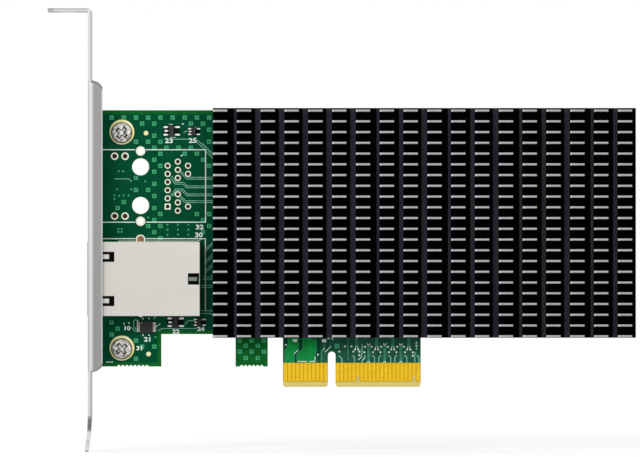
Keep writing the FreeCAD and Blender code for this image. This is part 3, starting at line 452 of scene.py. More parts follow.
NODE_FINISHES = {
    "circuit_board": laminate_finish(),
    "edge_fingers_front": GOLD,
    "edge_fingers_back": GOLD,
    "bracket": bracket_finish(),
    "bracket_screws": SCREW,
    "heat_sink": anodised_finish(),
    "heat_sink_screws": SCREW,
    "heat_sink_standoffs": Finish("standoff_bar", (180, 178, 170), (150, 148, 142), 900,
                                  (1, 0.1, 1), rough=0.4, metal=0.8, bump=0.2),
    "controller_substrate": Finish("chip_substrate", (34, 92, 56), (26, 78, 46), 1200, rough=0.45),
    "controller_lid": Finish("chip_lid", (188, 188, 186), (160, 160, 158), 500, (1, 1, 0.1),
                             rough=0.35, metal=0.8),
    "thermal_pad": Finish("soft_gap_pad", (176, 186, 196), (160, 170, 182), 700, rough=0.9,
                          bump=0.4),
    "jack_shell": shell_finish(),
    "jack_housing": MOULDING,
    "jack_light_upper": LAMP,
    "jack_light_lower": LAMP,
    "jack_contact_wires": GOLD,
    "jack_coil_block": MOULDING,
    "jack_pins": TINNED,
    "control_chip_body": CHIP,
    "control_chip_leads": TINNED,
    "surge_protector_bodies": CHIP,
    "surge_protector_leads": TINNED,
    "flash_memory": CHIP,
    "power_coils": Finish("pressed_ferrite", (78, 78, 80), (62, 62, 64), 1800, rough=0.7,
                          bump=0.5),
    "supply_capacitors": Finish("yellow_epoxy_case", (206, 168, 62), (190, 150, 50), 1500,
                                rough=0.45, bump=0.2),
    "voltage_regulator": CHIP,
    "timing_crystal": Finish("crystal_can", (212, 208, 190), (186, 182, 164), 900, rough=0.3,
                             metal=0.8),
    "ceramic_capacitors": Finish("ceramic_body", (176, 140, 104), (156, 122, 90), 2500, bump=0.2),
}

for name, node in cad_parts.items():
    node.data.materials.clear()
    node.data.materials.append(NODE_FINISHES[name].material)


# ---- shapes and pieces

def placed(name, data):
    made = bpy.data.objects.new(name, data)
    bpy.context.scene.collection.objects.link(made)
    return made


def finished(bm, name):
    bmesh.ops.recalc_face_normals(bm, faces=bm.faces)
    mesh = bpy.data.meshes.new(name)
    bm.to_mesh(mesh)
    bm.free()
    return mesh


def piece(name, shape, finish, replaced=None):
    """A visible piece, from a mesh or from faces that are still being made."""
    mesh = shape if isinstance(shape, bpy.types.Mesh) else finished(shape, name)
    mesh.materials.clear()
    mesh.materials.append(finish.material)
    made = placed(name, mesh)
    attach(made, "root")
    if replaced:
        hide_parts(replaced)
    return made


def circle(across, up, radius, sides):
    turns = [2 * math.pi * (step + 0.5) / sides for step in range(sides)]
    return [(across + radius * math.cos(turn), up + radius * math.sin(turn)) for turn in turns]


def rectangle(left, bottom, right, top):
    return [(left, bottom), (right, bottom), (right, top), (left, top)]


def around(across, up, width, height):
    """A rectangle about its own middle."""
    return rectangle(across - width / 2, up - height / 2, across + width / 2, up + height / 2)


def round_ended(head, tail, radius, start, steps):
    """A bar with round ends about two places; start is the angle where the head's round begins."""
    turns = [start + math.pi * step / steps for step in range(steps + 1)]
    return [(place[0] + reach * math.cos(turn), place[1] + reach * math.sin(turn))
            for place, reach in ((head, radius), (tail, -radius)) for turn in turns]


def line(points, width):
    """The outline of a track of one width along some points."""
    one_side, other_side = [], []
    vectors = [Vector(point) for point in points]
    for index, point in enumerate(vectors):
        before = (point - vectors[index - 1]).normalized() if index else None
        after = (vectors[index + 1] - point).normalized() if index < len(vectors) - 1 else None
        before = before or after
        after = after or before
        lean = (before + after).normalized()
        normal = Vector((-lean.y, lean.x))
        reach = width / 2 / max(0.4, normal.dot(Vector((-before.y, before.x))))
        one_side.append(tuple(point + normal * reach))
        other_side.append(tuple(point - normal * reach))
    return one_side + other_side[::-1]


def at_depth(bm, outline, depth):
    """The corners of an outline that lies along the board."""
    return [bm.verts.new((across * MM, -depth * MM, up * MM)) for across, up in outline]


def film(name, shapes, high, finish, low=MASK_TOP, side=FRONT):
    """Flat shapes, each an outline and its holes, between two heights above a side of the board."""
    bm = bmesh.new()
    inner, outer = side * (FACE + low), side * (FACE + high)
    for shape in shapes:
        edges = []
        for loop in shape:
            corners = at_depth(bm, loop, outer)
            edges += [bm.edges.new((corner, corners[index - 1]))
                      for index, corner in enumerate(corners)]
        bmesh.ops.triangle_fill(bm, use_beauty=True, use_dissolve=False, edges=edges,
                                normal=(0, -side, 0))
        for element in bmesh.ops.extrude_edge_only(bm, edges=edges)["geom"]:
            if isinstance(element, bmesh.types.BMVert):
                element.co.y = -inner * MM
    piece(name, bm, finish)


def film_lines(name, tracks, width, high, finish, low=MASK_TOP, side=FRONT):
    """Tracks of one width as a film."""
    film(name, [[line(points, width)] for points in tracks], high, finish, low=low, side=side)


def skin(bm, rings):
    """Side faces from each ring of corners to the next; a ring may be a single point."""
    for low, high in zip(rings, rings[1:]):
        count = max(len(low), len(high))
        for step in range(count):
            following = (step + 1) % count
            corners = [low[step % len(low)], low[following % len(low)],
                       high[following % len(high)], high[step % len(high)]]
            bm.faces.new(list(dict.fromkeys(corners)))


def lathe(bm, profile, across, up, sides):
    """Turns a profile of (radius, depth) about an axis that stands on the board."""
    skin(bm, [at_depth(bm, circle(across, up, radius, sides) if radius else [(across, up)], depth)
              for radius, depth in profile])


def printed(text, across, up, size):
    """A plain number printed on the board, a little wider and lower than the type."""
    curve = bpy.data.curves.new("number", "FONT")
    curve.body = text
    curve.size = size * MM
    curve.align_x = "CENTER"
    curve.align_y = "CENTER"
    curve.offset = size * 0.035 * MM
    curve.extrude = 0.01 * MM
    curve.resolution_u = 3
    holder = placed("number", curve)
    mesh = evaluated(holder)
    bpy.data.objects.remove(holder)
    place = Matrix.Translation((across * MM, -(FACE + 0.06) * MM, up * MM))
    flatter = Matrix.Diagonal((1.06, 0.84, 1, 1))
    mesh.transform(place @ Matrix.Rotation(math.pi / 2, 4, "X") @ flatter)
    return mesh


def evaluated(holder):
    bpy.context.view_layer.update()
    depsgraph = bpy.context.evaluated_depsgraph_get()
    return bpy.data.meshes.new_from_object(holder.evaluated_get(depsgraph))


# ---- board places

SOCKET_HOLES = -47.6  # where a socket's shield tabs and pegs stand


def signal_pins(centre):
    for column, rises in enumerate([(5, 3, 1, -1, -3, -5), (6, 4, 2, -2, -4, -6), (5, 3, -5)]):
        for rise in rises:
            yield -40.86 + column * 2.54, centre + rise * 1.016


def lamp_pins(centre):
    return [(across, centre + side) for across in (-54.06, -51.46) for side in (-7.45, 7.45)]


def shield_tabs(centre):
    return [(SOCKET_HOLES, centre - 8.75), (SOCKET_HOLES, centre + 8.75)]


def peg_holes(centre):
    return [(SOCKET_HOLES, centre - 4.81), (SOCKET_HOLES, centre + 4.81)]


def sink_screws():
    return [(across, up) for across in (-23.6, 69.6) for up in (18.29, 63.4)]


# ---- board face

BODY_OUTLINE = [(-57.2, 6.1), (-43.4, 6.1), (-43.4, 14.1), (73.6, 14.1), (73.6, 67.9),
                (-57.2, 67.9)]
TAB_OUTLINE = [(1.2, 6.05), (21.95, 6.05), (21.95, 14.1), (-3.0, 14.1), (-3.0, 6.05),
               (-1.2, 6.05), (-1.2, 8.4), (-0.75, 9.05), (0, 9.3), (0.75, 9.05), (1.2, 8.4)]
BACK_TAB_OUTLINES = [rectangle(-11.6, 6.2, -1.4, 14.1), rectangle(1.4, 6.2, 21.6, 14.1)]


def drillings():
    """Every hole that the copper keeps clear of."""
    kinds = []
    for centre in (JACK_CENTRE, OPEN_CENTRE):
        kinds += [(peg_holes(centre), 2.3, 32), (shield_tabs(centre), 0.8, 20),
                  (lamp_pins(centre), 0.55, 12), (signal_pins(centre), 0.46, 12)]
    kinds += [(SCREWS, 1.8, 20), (sink_screws(), 1.6, 20)]
    return [circle(*place, radius, sides) for places, radius, sides in kinds for place in places]


def make_copper_planes():
    outline = [BODY_OUTLINE] + drillings()
    film("copper_plane_front", [outline], MASK_TOP, MASK, low=0)
    film("copper_plane_back", [outline], MASK_TOP, MASK, low=0, side=BACK)
    film("tab_mask_front", [[TAB_OUTLINE]], TAB_MASK_TOP, TAB_MASK, low=0)
    film("tab_mask_back", [[outline] for outline in BACK_TAB_OUTLINES], TAB_MASK_TOP, TAB_MASK,
         low=0, side=BACK)


# The columns of ground squares from the left, and the rows that each fills from the top
GROUND_COLUMNS = {
    0: (0, 34, 36), 1: (15, 35), 2: (0, 14), 4: (0, 4, 10, 12, 37, 40), 5: (1, 38),
    6: (0, 4, 12, 18), 7: (1, 3, 5, 7, 9, 11, 13, 15, 17, 19, 38), 8: (0, 4, 6, 8, 16, 18, 20),
    9: (5,), 10: (0,), 11: (5,), 12: (0, 6), 13: (1, 5), 14: (0, 6, 16), 15: (1, 7, 17, 19),
    16: (0, 2, 4, 8, 16, 18),
}
NARROW_EAR_SQUARES = [(-22.9, 11.5), (-19.9, 11.5), (-16.9, 11.5), (-21.4, 10.3), (-18.4, 10.3),
                      (-22.9, 8.8), (-19.9, 8.8), (-16.9, 8.8), (-21.4, 7.2), (-18.4, 7.2)]


def make_ground_squares():
    """Small squares of bare-looking copper, stitched to the ground plane."""
    places = [(-54.81 + 1.5175 * column, 67.07 - 1.501 * row)
              for column, rows in GROUND_COLUMNS.items() for row in rows]
    places += NARROW_EAR_SQUARES + [(1.35, 10.2)]
    shapes = [[around(*place, 1.06, 1.02), around(*place, 0.42, 0.4)] for place in places]
    film("ground_squares", shapes, POUR_TOP, SQUARE)
    cores = [[around(*place, 0.43, 0.41)] for place in places]
    film("ground_square_middles", cores, CORE_TOP, SQUARE_CORE)
    pitch = 6.0
    back = [(70.0 - pitch * column, 66.0 - pitch * row) for column in range(17) for row in range(9)
            if (column + row) % 2 == 0]
    shapes = [[around(*place, 1.0, 1.0), around(*place, 0.4, 0.4)] for place in back]
    film("ground_squares_back", shapes, POUR_TOP, SQUARE, side=BACK)


LANES_UP = (9.2, 13.2, 17.2)
LANES_DOWN = (6.2, 11.2, 15.2, 19.2)
# Tracks that run on under the heat sink, and their height at its edge
TRACKS_TO_SINK = [
    ([(-37.7, 53.3), (-36.1, 51.75)], 51.75), ([(-37.5, 53.7), (-36.0, 52.2)], 52.2),
    ([(-40.1, 52.0), (-39.0, 50.5), (-37.1, 50.5), (-36.1, 49.6)], 49.6),
    ([(-40.2, 52.4), (-39.7, 52.4), (-38.8, 50.95), (-36.9, 50.95), (-36.0, 50.05)], 50.05),
    ([(-40.1, 48.0), (-39.7, 48.0), (-38.9, 49.3), (-37.2, 49.3), (-35.9, 48.05)], 48.05),
    ([(-40.2, 47.6), (-39.5, 47.6), (-38.8, 48.85), (-37.4, 48.85), (-36.1, 47.6)], 47.6),
    ([(-37.6, 47.5), (-36.4, 46.35)], 46.35), ([(-37.8, 47.1), (-36.6, 45.9)], 45.9),
    ([(-33.9, 61.3)], 56.7), ([(-33.5, 61.55)], 57.4), ([(-32.3, 60.8)], 57.9),
    ([(-31.4, 34.4), (-29.9, 35.8)], 36.3), ([(-32.0, 27.3), (-30.3, 27.3)], 28.2),
    ([(-32.0, 26.75), (-30.1, 26.75)], 27.4), ([(-32.6, 25.3)], 25.3), ([(-32.6, 24.8)], 24.8),
    ([(-32.6, 19.0), (-30.0, 19.0)], 18.4), ([(-32.6, 18.3), (-30.2, 18.3)], 17.5),
]
SLANTED_TRACKS = (33.8, 31.4, 30.8, 29.0, 28.4)  # heights, where they leave the fitted socket
SHORT_TRACKS = [
    [(-39.4, 61.7), (-35.4, 61.7)], [(-54.1, 51.8), (-50.5, 51.8), (-49.8, 51.1)],
    [(-36.9, 63.2), (-36.4, 63.7), (-35.9, 63.7)], [(-44.4, 16.9), (-43.4, 17.9)],
    [(-48.7, 16.87), (-49.3, 16.4), (-49.3, 15.0), (-48.8, 14.46), (-48.4, 14.46)],
    [(-43.3, 14.0), (-42.2, 14.55), (-33.5, 14.55)], [(-36.6, 15.6), (-35.7, 16.5), (-34.2, 16.5)],
    [(-49.9, 14.9), (-49.0, 13.95), (-48.4, 13.95)],
]
LANE_HOOKS = [
    [(1.75, 7.8), (2.56, 6.95), (2.56, 6.05)], [(7.56, 10.5), (7.5, 7.8)],
    [(21.1, 10.2), (21.1, 9.2)], [(20.9, 8.7), (20.7, 8.3), (20.7, 6.2)],
    [(8.2, 8.0), (8.3, 7.4), (7.6, 6.6), (7.6, 6.1)],
]
# Where each hook's top and its foot at the contact lie across
HOOK_ENDS = [(5.1, 5.65), (10.05, 10.65), (14.1, 14.7), (18.1, 18.7), (21.2, 21.7), (12.3, 11.7),
             (16.3, 15.7)]


def at_each(middles, shapes):
    """The same outlines or lines about each lane's middle."""
    return [[(middle + across, up) for across, up in shape]
            for middle in middles for shape in shapes]


def make_tracks():
    """Signal tracks on the face, the lanes that end at the contacts, and the tracks behind."""
    tracks = [points + [(SINK_EDGE, end)] for points, end in TRACKS_TO_SINK] + SHORT_TRACKS
    tracks += [[(-31.4, up), (SINK_EDGE, up + 2.0)] for up in SLANTED_TRACKS]
    film_lines("signal_tracks", tracks, 0.16, TRACK_TOP, TRACE)
    bands = at_each(LANES_UP, [rectangle(-0.36, 6.05, 0.36, 10.4)])
    bands += at_each(LANES_DOWN, [rectangle(-0.36, 10.1, 0.36, 13.0)])
    bands.append(rectangle(3.9, 6.6, 4.25, 13.0))
    film("lane_bands", [[band] for band in bands], POUR_TOP, LANE)
    hooks = LANE_HOOKS + [[(top, 7.9), (foot, 7.4), (foot, 6.05)] for top, foot in HOOK_ENDS]
    film_lines("lane_hooks", hooks, 0.24, TRACK_TOP, TRACE)
    heads = [[(6.6, 6.7), (7.5, 7.6)], [(7.7, 6.7), (8.3, 7.3)]]
    heads += at_each(LANES_UP, [[(-0.35, 10.85), (-0.1, 10.35)], [(0.45, 10.85), (0.05, 10.35)],
                                [(-0.4, 6.05), (0, 6.4), (0.35, 6.05)]])
    heads += at_each(LANES_DOWN, [[(-0.2, 10.1), (-0.38, 9.35)], [(0.2, 10.1), (0.38, 9.35)]])
    film_lines("lane_heads", heads, 0.17, RIM_TOP, PALE, low=ON_POUR)
    back = []
    for step in range(8):
        across = 2.5 + 2.4 * step
        back.append([(across, 6.0), (across, 10.0), (across + 1.2, 11.6), (across + 1.2, 30.0)])
        back.append([(across + 0.7, 6.0), (across + 0.7, 9.8), (across + 1.7, 11.3),
                     (across + 1.7, 30.0)])
    for step in range(4):
        up = 45.9 + 1.9 * step
        back.append([(-38.0, up), (-30.0, up), (-26.0, up - 4.0), (0.0, up - 4.0)])
    film_lines("lane_tracks_back", back, 0.2, TRACK_TOP, TRACE, side=BACK)


SMALL_POUR = [(-11.69, 6.1), (-9.31, 6.1), (-9.31, 8.3), (-8.31, 9.15), (-8.31, 12.9),
              (-10.88, 12.9), (-10.88, 10.2), (-11.69, 9.4)]
LARGE_POUR = [(-8.69, 6.1), (-4.06, 6.1), (-4.06, 8.6), (-3.81, 8.8), (-3.81, 11.75),
              (-4.81, 11.75), (-5.56, 12.9), (-7.19, 12.9), (-7.19, 9.5), (-8.69, 8.16)]


def make_pours():
    """Wide bright areas of mask over copper near the edge fingers, their rims and their feeds."""
    film("dark_mask_by_key", [[rectangle(-11.95, 6.05, -3.0, 13.9)]], MASK_TOP, MASK, low=0)
    film("power_pours", [[SMALL_POUR], [LARGE_POUR]], POUR_TOP, POUR)
    rims = [list(side) for outline in (SMALL_POUR, LARGE_POUR)
            for side in zip(outline, outline[1:] + outline[:1])]
    rims += [[(-3.5, 7.6), (-3.5, 6.1)], [(-0.25, 10.0), (-0.25, 12.9)],
             [(-1.7, 8.6), (-1.75, 6.7), (-1.4, 6.2)]]
    film_lines("pour_rims", rims, 0.16, RIM_TOP, LANE, low=ON_POUR)
    feed = [(-2.5, 6.1), (-2.5, 8.7), (-1.9, 9.4), (-1.9, 11.2)]
    film_lines("narrow_pour", [feed], 0.5, TRACK_TOP, LANE)
    bright = [[(-9.3, 8.3), (-8.35, 9.2)], [(-2.2, 9.2), (-1.75, 9.65)],
              [(-1.7, 8.65), (-0.25, 10.05)], [(-8.5, 6.35), (-6.2, 6.35)],
              [(-5.5, 6.35), (-4.2, 6.35), (-4.1, 7.6)]]
    film_lines("pour_highlights", bright, 0.18, HIGHLIGHT_TOP, PALE, low=ON_RIM)


TAB_BORE, TAB_PAD = 0.76, 1.18  # radii at a shield tab
FIDUCIALS = [(-46.24, 63.2), (-45.6, 8.2)]


def oval(radius):
    """A long round-ended outline about the fitted socket's upper shield hole."""
    across, up = shield_tabs(JACK_CENTRE)[1]
    return round_ended((across, up + 1.05), (across, up), radius, 0, 16)


def pin_pads(centre):
    """Each pin's pad outline, its place, and the radii of its opening and of its hole."""
    for place in signal_pins(centre):
        first = place[0] < -40 and place[1] < centre - 4
        yield around(*place, 1.5, 1.5) if first else circle(*place, 0.76, 28), place, 0.49, 0.42
    for place in lamp_pins(centre):
        yield circle(*place, 0.94, 32), place, 0.6, 0.5


def make_pads():
    """Solder pads: pale rings with a dark edge, and a dark brown fill in the open holes."""
    fronts, backs, edges, plugs, plated = [], [], [], [], []
    for centre in (OPEN_CENTRE, JACK_CENTRE):
        for outline, place, opening, hole in pin_pads(centre):
            drilled = circle(*place, hole, 20)
            backs.append([outline, drilled])
            plated.append([around(*place, 2 * hole - 0.01, 2 * hole - 0.01),
                           circle(*place, hole - 0.06, 20)])
            if centre == OPEN_CENTRE:
                rim = circle(*place, opening, 24)
                fronts.append([outline, rim])
                edges.append([rim, circle(*place, hole - 0.05, 20)])
                plugs.append([drilled])
        for place in shield_tabs(centre):
            backs.append([circle(*place, TAB_PAD, 36), circle(*place, TAB_BORE, 28)])
    for place in shield_tabs(OPEN_CENTRE):
        pad = circle(*place, TAB_PAD, 36)
        fronts.append([pad, circle(*place, TAB_BORE, 28)])
        edges.append([circle(*place, TAB_PAD + 0.08, 36), pad])
    film("solder_pads_front", fronts, PAD_TOP, PAD)
    film("solder_pads_back", backs, PAD_TOP, PAD, side=BACK)
    film("dark_pad_edges", edges, SOLDER_TOP, HOLE)
    fiducials = [[circle(*place, 0.58, 24)] for place in FIDUCIALS]
    film("fiducials", fiducials, DISC_TOP, RING)
    film("hole_walls", plated, CORE_TOP, SOLDER, low=OTHER_FACE)
    film("hole_plugs", plugs, PLUG_TOP, HOLE, low=OTHER_FACE)
    film("fitted_shield_ring", [[oval(1.2), oval(0.86)]], PAD_TOP, PAD)
    film("fitted_shield_solder", [[oval(0.86)]], SOLDER_TOP, FLUX)


def make_screw_rings():
    """Gold rings round the screws, a little off the screws on the face, with painted shade at their
    edges.
    """
    radius, bore = 3.1, 1.62
    rings, edges = [], []
    for across, up in SCREWS:
        drilled = circle(across, up, bore, 32)
        middle = (across + 0.05, up + 0.18)
        rings.append([circle(*middle, radius, 48), drilled])
        # painted shade: a dark line round each screw head and round the ring's outer edge
        edges.append([circle(across, up, 2.64, 48), drilled])
        edges.append([circle(*middle, radius + 0.1, 48), circle(*middle, radius, 48)])
    film("painted_shade_ring_edges", edges, RING_EDGE_TOP, HOLE)
    film("screw_ring_pads", rings, SOLDER_TOP, RING)
    back = [[circle(*place, radius, 48), circle(*place, bore, 32)] for place in sink_screws()]
    film("screw_ring_pads_back", back, SOLDER_TOP, PAD, side=BACK)


SMALL_VIAS = [(-53.0, 53.7), (-51.9, 53.7), (-46.4, 51.2), (-53.5, 49.2), (-49.9, 49.2),
              (-54.1, 47.7), (-52.9, 47.6), (-51.8, 47.7), (-50.6, 47.7), (-54.1, 46.8),
              (-45.7, 42.2), (-53.1, 39.3), (-52.3, 39.3), (-53.1, 38.6), (-52.3, 38.6),
              (-43.9, 12.4)]
LANE_VIAS = [(-11.4, 10.5), (-3.45, 8.05), (-0.8, 12.1), (0.15, 12.0), (1.9, 8.8), (3.3, 10.1),
             (4.9, 10.1), (5.4, 8.8), (6.9, 8.8), (6.9, 7.9), (20.2, 8.6), (20.2, 7.75),
             (21.1, 11.0), (21.1, 10.3)]


def make_vias():
    small = SMALL_VIAS + [(-40.9 + 2.6 * column, 40.4 - 1.25 * row)
                          for column in range(3) for row in range(3)]
    film("small_vias", [[circle(*place, 0.25, 14)] for place in small], RIM_TOP, SQUARE)
    ends = sum(at_each(LANES_UP, [[(-0.9, 10.0), (0.75, 10.0), (-1.1, 8.65), (1.05, 8.65)]])
               + at_each(LANES_DOWN, [[(-0.38, 9.33), (0.38, 9.33)]]), LANE_VIAS)
    film("lane_vias", [[circle(*place, 0.24, 14)] for place in ends], INK_TOP, PALE, low=ON_RIM)


# The outlines of the open socket place and of the fitted one
PLACE_LINES = [
    [(-57.3, 59.07), (-48.95, 59.07)],
    [(-46.25, 59.07), (-31.41, 59.07), (-31.41, 41.03), (-46.25, 41.03)],
    [(-48.95, 41.03), (-57.3, 41.03)],
    [(-57.3, 36.92), (-48.95, 36.92)],
    [(-46.25, 36.92), (-31.46, 36.92), (-31.46, 18.9)],
]
FINE_LINES = [
    [(-53.2, 36.32), (-49.0, 36.32)], [(-46.2, 36.32), (-33.4, 36.32), (-32.5, 36.7)],
    [(-40.3, 62.15), (-38.9, 62.15)], [(-40.5, 65.4), (-39.6, 65.4)],
    [(-43.85, 14.93), (-42.7, 15.77)],
]
POLARITY_DOTS = [(-37.1, 65.5), (-37.4, 57.6), (-34.0, 64.6), (-33.9, 61.9), (-47.0, 17.0),
                 (-45.5, 17.05), (-47.0, 12.9), (-45.5, 12.9), (-48.37, 16.45), (-51.7, 15.75),
                 (-50.5, 15.9)]
BLOCK_MARKS = [around(-9.15, 11.55, 1.05, 0.7), around(-1.9, 11.5, 1.05, 0.75)]
# Each number, where its middle is, and its size
PLAIN_NUMBERS = [
    ("23", -40.5, 61.25, 1.9), ("25", -34.6, 61.3, 1.9), ("32", -32.9, 39.75, 1.9),
    ("30", -33.1, 37.8, 1.9), ("21", -45.8, 11.8, 1.8), ("10", -51.0, 14.6, 1.7),
    ("31", -47.8, 9.6, 1.7), ("22", -38.8, 13.75, 1.7), ("24", -32.6, 14.4, 1.7),
]


def make_legend():
    """White printing: place outlines, polarity marks and plain numbers."""
    shapes = [[line(points, 0.24)] for points in PLACE_LINES]
    shapes += [[line(points, 0.14)] for points in FINE_LINES]
    dots = POLARITY_DOTS + [(-55.9 + 0.6 * step, 6.2) for step in range(3)]
    shapes += [[circle(*place, 0.2, 12)] for place in dots]
    shapes += [[mark] for mark in BLOCK_MARKS]
    film("legend_lines", shapes, INK_TOP, INK)
    bm = bmesh.new()
    for number in PLAIN_NUMBERS:
        bm.from_mesh(printed(*number))
    numbers = bpy.data.meshes.new("legend_numbers")
    bm.to_mesh(numbers)
    bm.free()
    piece("legend_numbers", numbers, INK)


# ---- small parts

CASE_TOP = 1.685
CHIP_LEAD_PITCH = 0.5
# A lead from half way up its case to flat on the board: distance from the case, and depth
LEAD_PROFILE = [(0.0, 1.30), (0.28, 1.30), (0.42, 0.94), (0.80, 0.94), (0.80, FACE), (0.32, FACE),
                (0.18, 1.15), (0.0, 1.15)]


def protector_leads():
    """Three leads on the left of each protector and two on its right."""
    for across, up, share in PROTECTORS:
        for side, rises in ((-1, (-0.95, 0, 0.95)), (1, (-0.95, 0.95))):
            for rise in rises:
                yield across, up + rise * share, share, side, rise == 0


def land(one_end, other_end, up, width):
    left, right = sorted((one_end, other_end))
    radius = width / 2
    return [round_ended((right - radius, up), (left + radius, up), radius, -math.pi / 2, 6)]


def make_lead_pads():
    """Bright solder lands around the leads of the small parts, and painted shade on the mask
    between them.
    """
    lands = []
    for across, up, share, side, central in protector_leads():
        reach = (2.0 if side < 0 else 2.12) - (0.2 if central else 0.0)
        lands.append(land(across + side * 0.9 * share, across + side * reach * share, up,
                          0.46 * share))
    # painted shade on the mask round the leads
    dark = [[around(across + side * 1.35 * share, up, 1.5 * share, 2.75 * share)]
            for across, up, share in PROTECTORS for side in (-1, 1)]
    across, up = CONTROL_CHIP
    for side in (-1, 1):
        lands += [land(across + side * 1.75, across + side * 2.4, up + step * CHIP_LEAD_PITCH, 0.3)
                  for step in range(-2, 3)]
        dark.append([around(across + side * 2.05, up, 0.75, 2.7)])
    film("lead_lands", lands, SOLDER_TOP, SOLDER, low=SHADE_TOP)
    film("shaded_mask", dark, SHADE_TOP, SHADED)


def moulded_box(bm, left, bottom, right, top, low, high, draft):
    """A moulded body whose sides lean in above and below its parting line."""
    rings = []
    for depth, inset in ((low, draft), ((low + high) / 2, 0.0), (high, draft)):
        loop = rectangle(left + inset, bottom + inset, right - inset, top - inset)
        rings.append(at_depth(bm, loop, depth))
    skin(bm, rings)
    bm.faces.new(rings[0][::-1])
    bm.faces.new(rings[-1])


def soften(made, width):
    """A small rounding along every sharp edge."""
    bevel = made.modifiers.new("rounding", "BEVEL")
    bevel.width = width * MM
    bevel.segments = 2
    bevel.limit_method = "ANGLE"
    bevel.angle_limit = math.radians(30)


def make_chip_bodies():
    bm = bmesh.new()
    for across, up, share in PROTECTORS:
        half, rise = 0.6 * share, 1.45 * share
        moulded_box(bm, across - half, up - rise, across + half, up + rise, FACE, CASE_TOP, 0.08)
    cases = piece("surge_protector_cases", bm, CHIP, "surge_protector_bodies")
    soften(cases, 0.04)
    bm = bmesh.new()
    across, up = CONTROL_CHIP
    moulded_box(bm, across - 1.62, up - 1.55, across + 1.62, up + 1.55, FACE, CASE_TOP, 0.12)
    case = piece("control_chip_case", bm, CHIP, "control_chip_body")
    soften(case, 0.05)
    dot_low, dot_high = CASE_TOP - 0.005 - FACE, CASE_TOP + 0.005 - FACE
    film("pin_one_marks", [[circle(across - 1.15, up + 1.05, 0.2, 20)]], dot_high, DOT,
         low=dot_low)


def bend_lead(bm, across, up, side, width, share=1.0):
    near, far = [[bm.verts.new(((across + side * reach * share) * MM, -depth * MM, edge * MM))
                  for reach, depth in LEAD_PROFILE] for edge in (up - width / 2, up + width / 2)]
    bm.faces.new(near)
    bm.faces.new(far[::-1])
    skin(bm, [near, far])


def make_leads():
    """Bent leads that leave the case half way up and land flat on the board."""
    bm = bmesh.new()
    for across, up, share, side, _ in protector_leads():
        bend_lead(bm, across + side * 0.55 * share, up, side, 0.36 * share, share)
    piece("surge_protector_bent_leads", bm, protector_lead_finish(),
          "surge_protector_leads")
    bm = bmesh.new()
    across, up = CONTROL_CHIP
    for step in range(-2, 3):
        for side in (-1, 1):
            bend_lead(bm, across + side * 1.55, up + step * CHIP_LEAD_PITCH, side, 0.24)
    piece("control_chip_bent_leads", bm, TINNED, "control_chip_leads")


def make_rear_tongue():
    """The short sprung tongue in the notch at the back of the socket's shell."""
    bm = bmesh.new()
    moulded_box(bm, -35.5, 26.45, -33.4, 27.4, 13.72, 13.9, 0.02)
    piece("shell_rear_tongue", bm, TONGUE)


# A bracket screw from its shank's end to the top of its pan head: radius and depth
SCREW_PROFILE = [(0, -2.11), (1.45, -2.11), (1.45, 0.85), (2.42, 0.85), (2.45, 0.95),
                 (2.45, 1.75), (2.38, 2.1), (2.15, 2.32), (1.7, 2.46), (0, 2.5)]
# The driver's recess at its floor and at its mouth: depth, half length and half width
RECESS_ENDS = ((1.6, 1.2, 0.3), (2.7, 1.72, 0.58))
SLOT_FACES = ([0, 1, 2, 3], [7, 6, 5, 4], [0, 4, 5, 1], [1, 5, 6, 2], [2, 6, 7, 3], [3, 7, 4, 0])


def cross_recess(across, up, turn):
    """Two crossed slots, each of them wider towards the top of the head."""
    bm = bmesh.new()
    for angle in (turn, turn + math.pi / 2):
        along = Vector((math.cos(angle), math.sin(angle)))
        side = Vector((-along.y, along.x))
        corners = []
        for depth, reach, half in RECESS_ENDS:
            for a, b in ((-1, -1), (1, -1), (1, 1), (-1, 1)):
                spot = Vector((across, up)) + along * reach * a + side * half * b
                corners.append(bm.verts.new((spot.x * MM, -depth * MM, spot.y * MM)))
        for ring in SLOT_FACES:
            bm.faces.new([corners[index] for index in ring])
    return bm


def make_bracket_screws():
    """Two pan heads with a cross recess, on their shanks."""
    for (across, up), turn, number in zip(SCREWS, (52, 38), (1, 2)):
        bm = bmesh.new()
        lathe(bm, SCREW_PROFILE, across, up, 44)
        head = placed("screw_blank", finished(bm, "screw_blank"))
        recess = cross_recess(across, up, math.radians(turn))
        driver = placed("recess_blank", finished(recess, "recess_blank"))
        carve = head.modifiers.new("recess", "BOOLEAN")
        carve.operation = "DIFFERENCE"
        carve.object = driver
        carve.solver = "EXACT"
        carve.use_self = True
        mesh = evaluated(head)
        mesh.name = f"bracket_screw_{number}"
        bpy.data.objects.remove(head)
        bpy.data.objects.remove(driver)
        piece(f"bracket_screw_{number}", mesh, SCREW, "bracket_screws")
        # painted shade on the walls of the cross recess
        mesh.materials.append(RECESS_SHADE.material)
        axis = Vector((across * MM, up * MM))
        for face in mesh.polygons:
            inside = (Vector((face.center.x, face.center.z)) - axis).length < 1.75 * MM
            sunk = -2.44 * MM < face.center.y < -1.4 * MM
            face.material_index = 1 if inside and sunk and abs(face.normal.y) < 0.9 else 0


# ---- light, floor, view

def emptied(owner):
    """The owner's node tree with nothing in it, and its ways to add a node and a link."""
    owner.use_nodes = True
    tree = owner.node_tree
    tree.nodes.clear()
    return tree, tree.nodes.new, tree.links.new


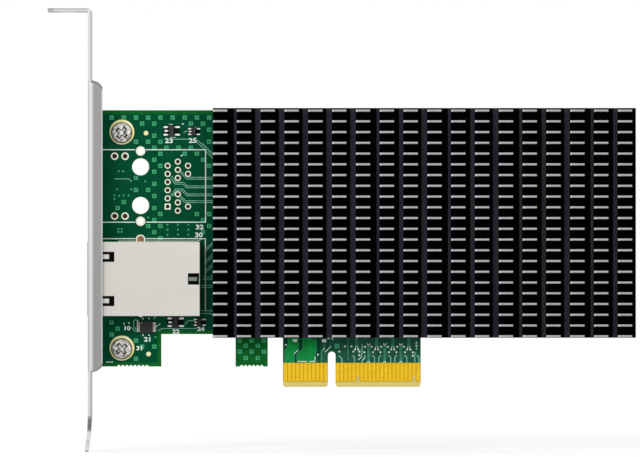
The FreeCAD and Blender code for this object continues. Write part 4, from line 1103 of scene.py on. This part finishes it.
def make_floor():
    """A plain pale floor that looks as white as the background and keeps the card's shadow."""
    just_below = cad_box[0].z - 0.0001
    bpy.ops.mesh.primitive_plane_add(size=0.6, location=(0.005, 0, just_below))
    floor = bpy.context.object
    floor.name = "floor"
    material = bpy.data.materials.new("pale_floor")
    tree, add, link = emptied(material)
    matt = add("ShaderNodeBsdfDiffuse")
    matt.inputs["Color"].default_value = linear((252, 252, 252))
    glow = add("ShaderNodeEmission")
    path = add("ShaderNodeLightPath")
    both = add("ShaderNodeAddShader")
    result = add("ShaderNodeOutputMaterial")
    seen_glow = maths(tree, "MULTIPLY", path.outputs["Is Camera Ray"], 0.45)
    link(seen_glow, glow.inputs["Strength"])
    link(matt.outputs[0], both.inputs[0])
    link(glow.outputs[0], both.inputs[1])
    link(both.outputs[0], result.inputs["Surface"])
    floor.data.materials.append(material)


def make_world():
    """Soft light on the card, and plain white wherever the background is seen."""
    world = bpy.data.worlds.new("studio")
    bpy.context.scene.world = world
    tree, add, link = emptied(world)
    soft = add("ShaderNodeBackground")
    soft.inputs["Strength"].default_value = 0.62
    white = add("ShaderNodeBackground")
    white.inputs["Color"].default_value = (1, 1, 1, 1)
    path = add("ShaderNodeLightPath").outputs
    mix = add("ShaderNodeMixShader")
    result = add("ShaderNodeOutputWorld")
    seen = maths(tree, "MAXIMUM", path["Is Camera Ray"], path["Is Glossy Ray"])
    seen = maths(tree, "MAXIMUM", seen, path["Is Transmission Ray"])
    link(seen, mix.inputs["Fac"])
    link(soft.outputs[0], mix.inputs[1])
    link(white.outputs[0], mix.inputs[2])
    link(mix.outputs[0], result.inputs["Surface"])


def make_lamp(name, azimuth, elevation, size, watts):
    """A soft lamp that looks at the middle of the card."""
    lamp = bpy.data.lights.new(name, "AREA")
    lamp.shape = "DISK"
    lamp.size = size
    lamp.energy = watts
    holder = placed(name, lamp)
    side, rise = math.radians(azimuth), math.radians(elevation)
    towards = Vector((math.sin(side) * math.cos(rise), -math.cos(side) * math.cos(rise),
                      math.sin(rise)))
    middle, distance = Vector((0.003, 0, 0.039)), 1.6
    holder.location = middle + towards * distance
    holder.rotation_mode = "QUATERNION"
    holder.rotation_quaternion = (-towards).to_track_quat("-Z", "Y")


def make_camera():
    """A very long lens, level and straight on, so that nearly nothing leans."""
    camera = bpy.data.cameras.new("camera")
    camera.lens = 800
    camera.sensor_width = 36
    holder = placed("camera", camera)
    distance = VIEW_WIDTH * MM / camera.sensor_width * camera.lens
    across, up = VIEW_CENTRE
    holder.location = (across * MM, -distance - FACE * MM, up * MM)
    holder.rotation_euler = (math.pi / 2, 0, 0)
    bpy.context.scene.camera = holder


make_copper_planes()
make_ground_squares()
make_tracks()
make_pours()
make_pads()
make_screw_rings()
make_vias()
make_legend()
make_lead_pads()
make_chip_bodies()
make_leads()
make_rear_tongue()
make_bracket_screws()
make_floor()
make_world()
make_lamp("key", -14, 16, 0.5, 8.5)
make_lamp("fill", 34, 4, 0.8, 4.5)
make_camera()
bpy.context.scene.view_settings.view_transform = "Standard"
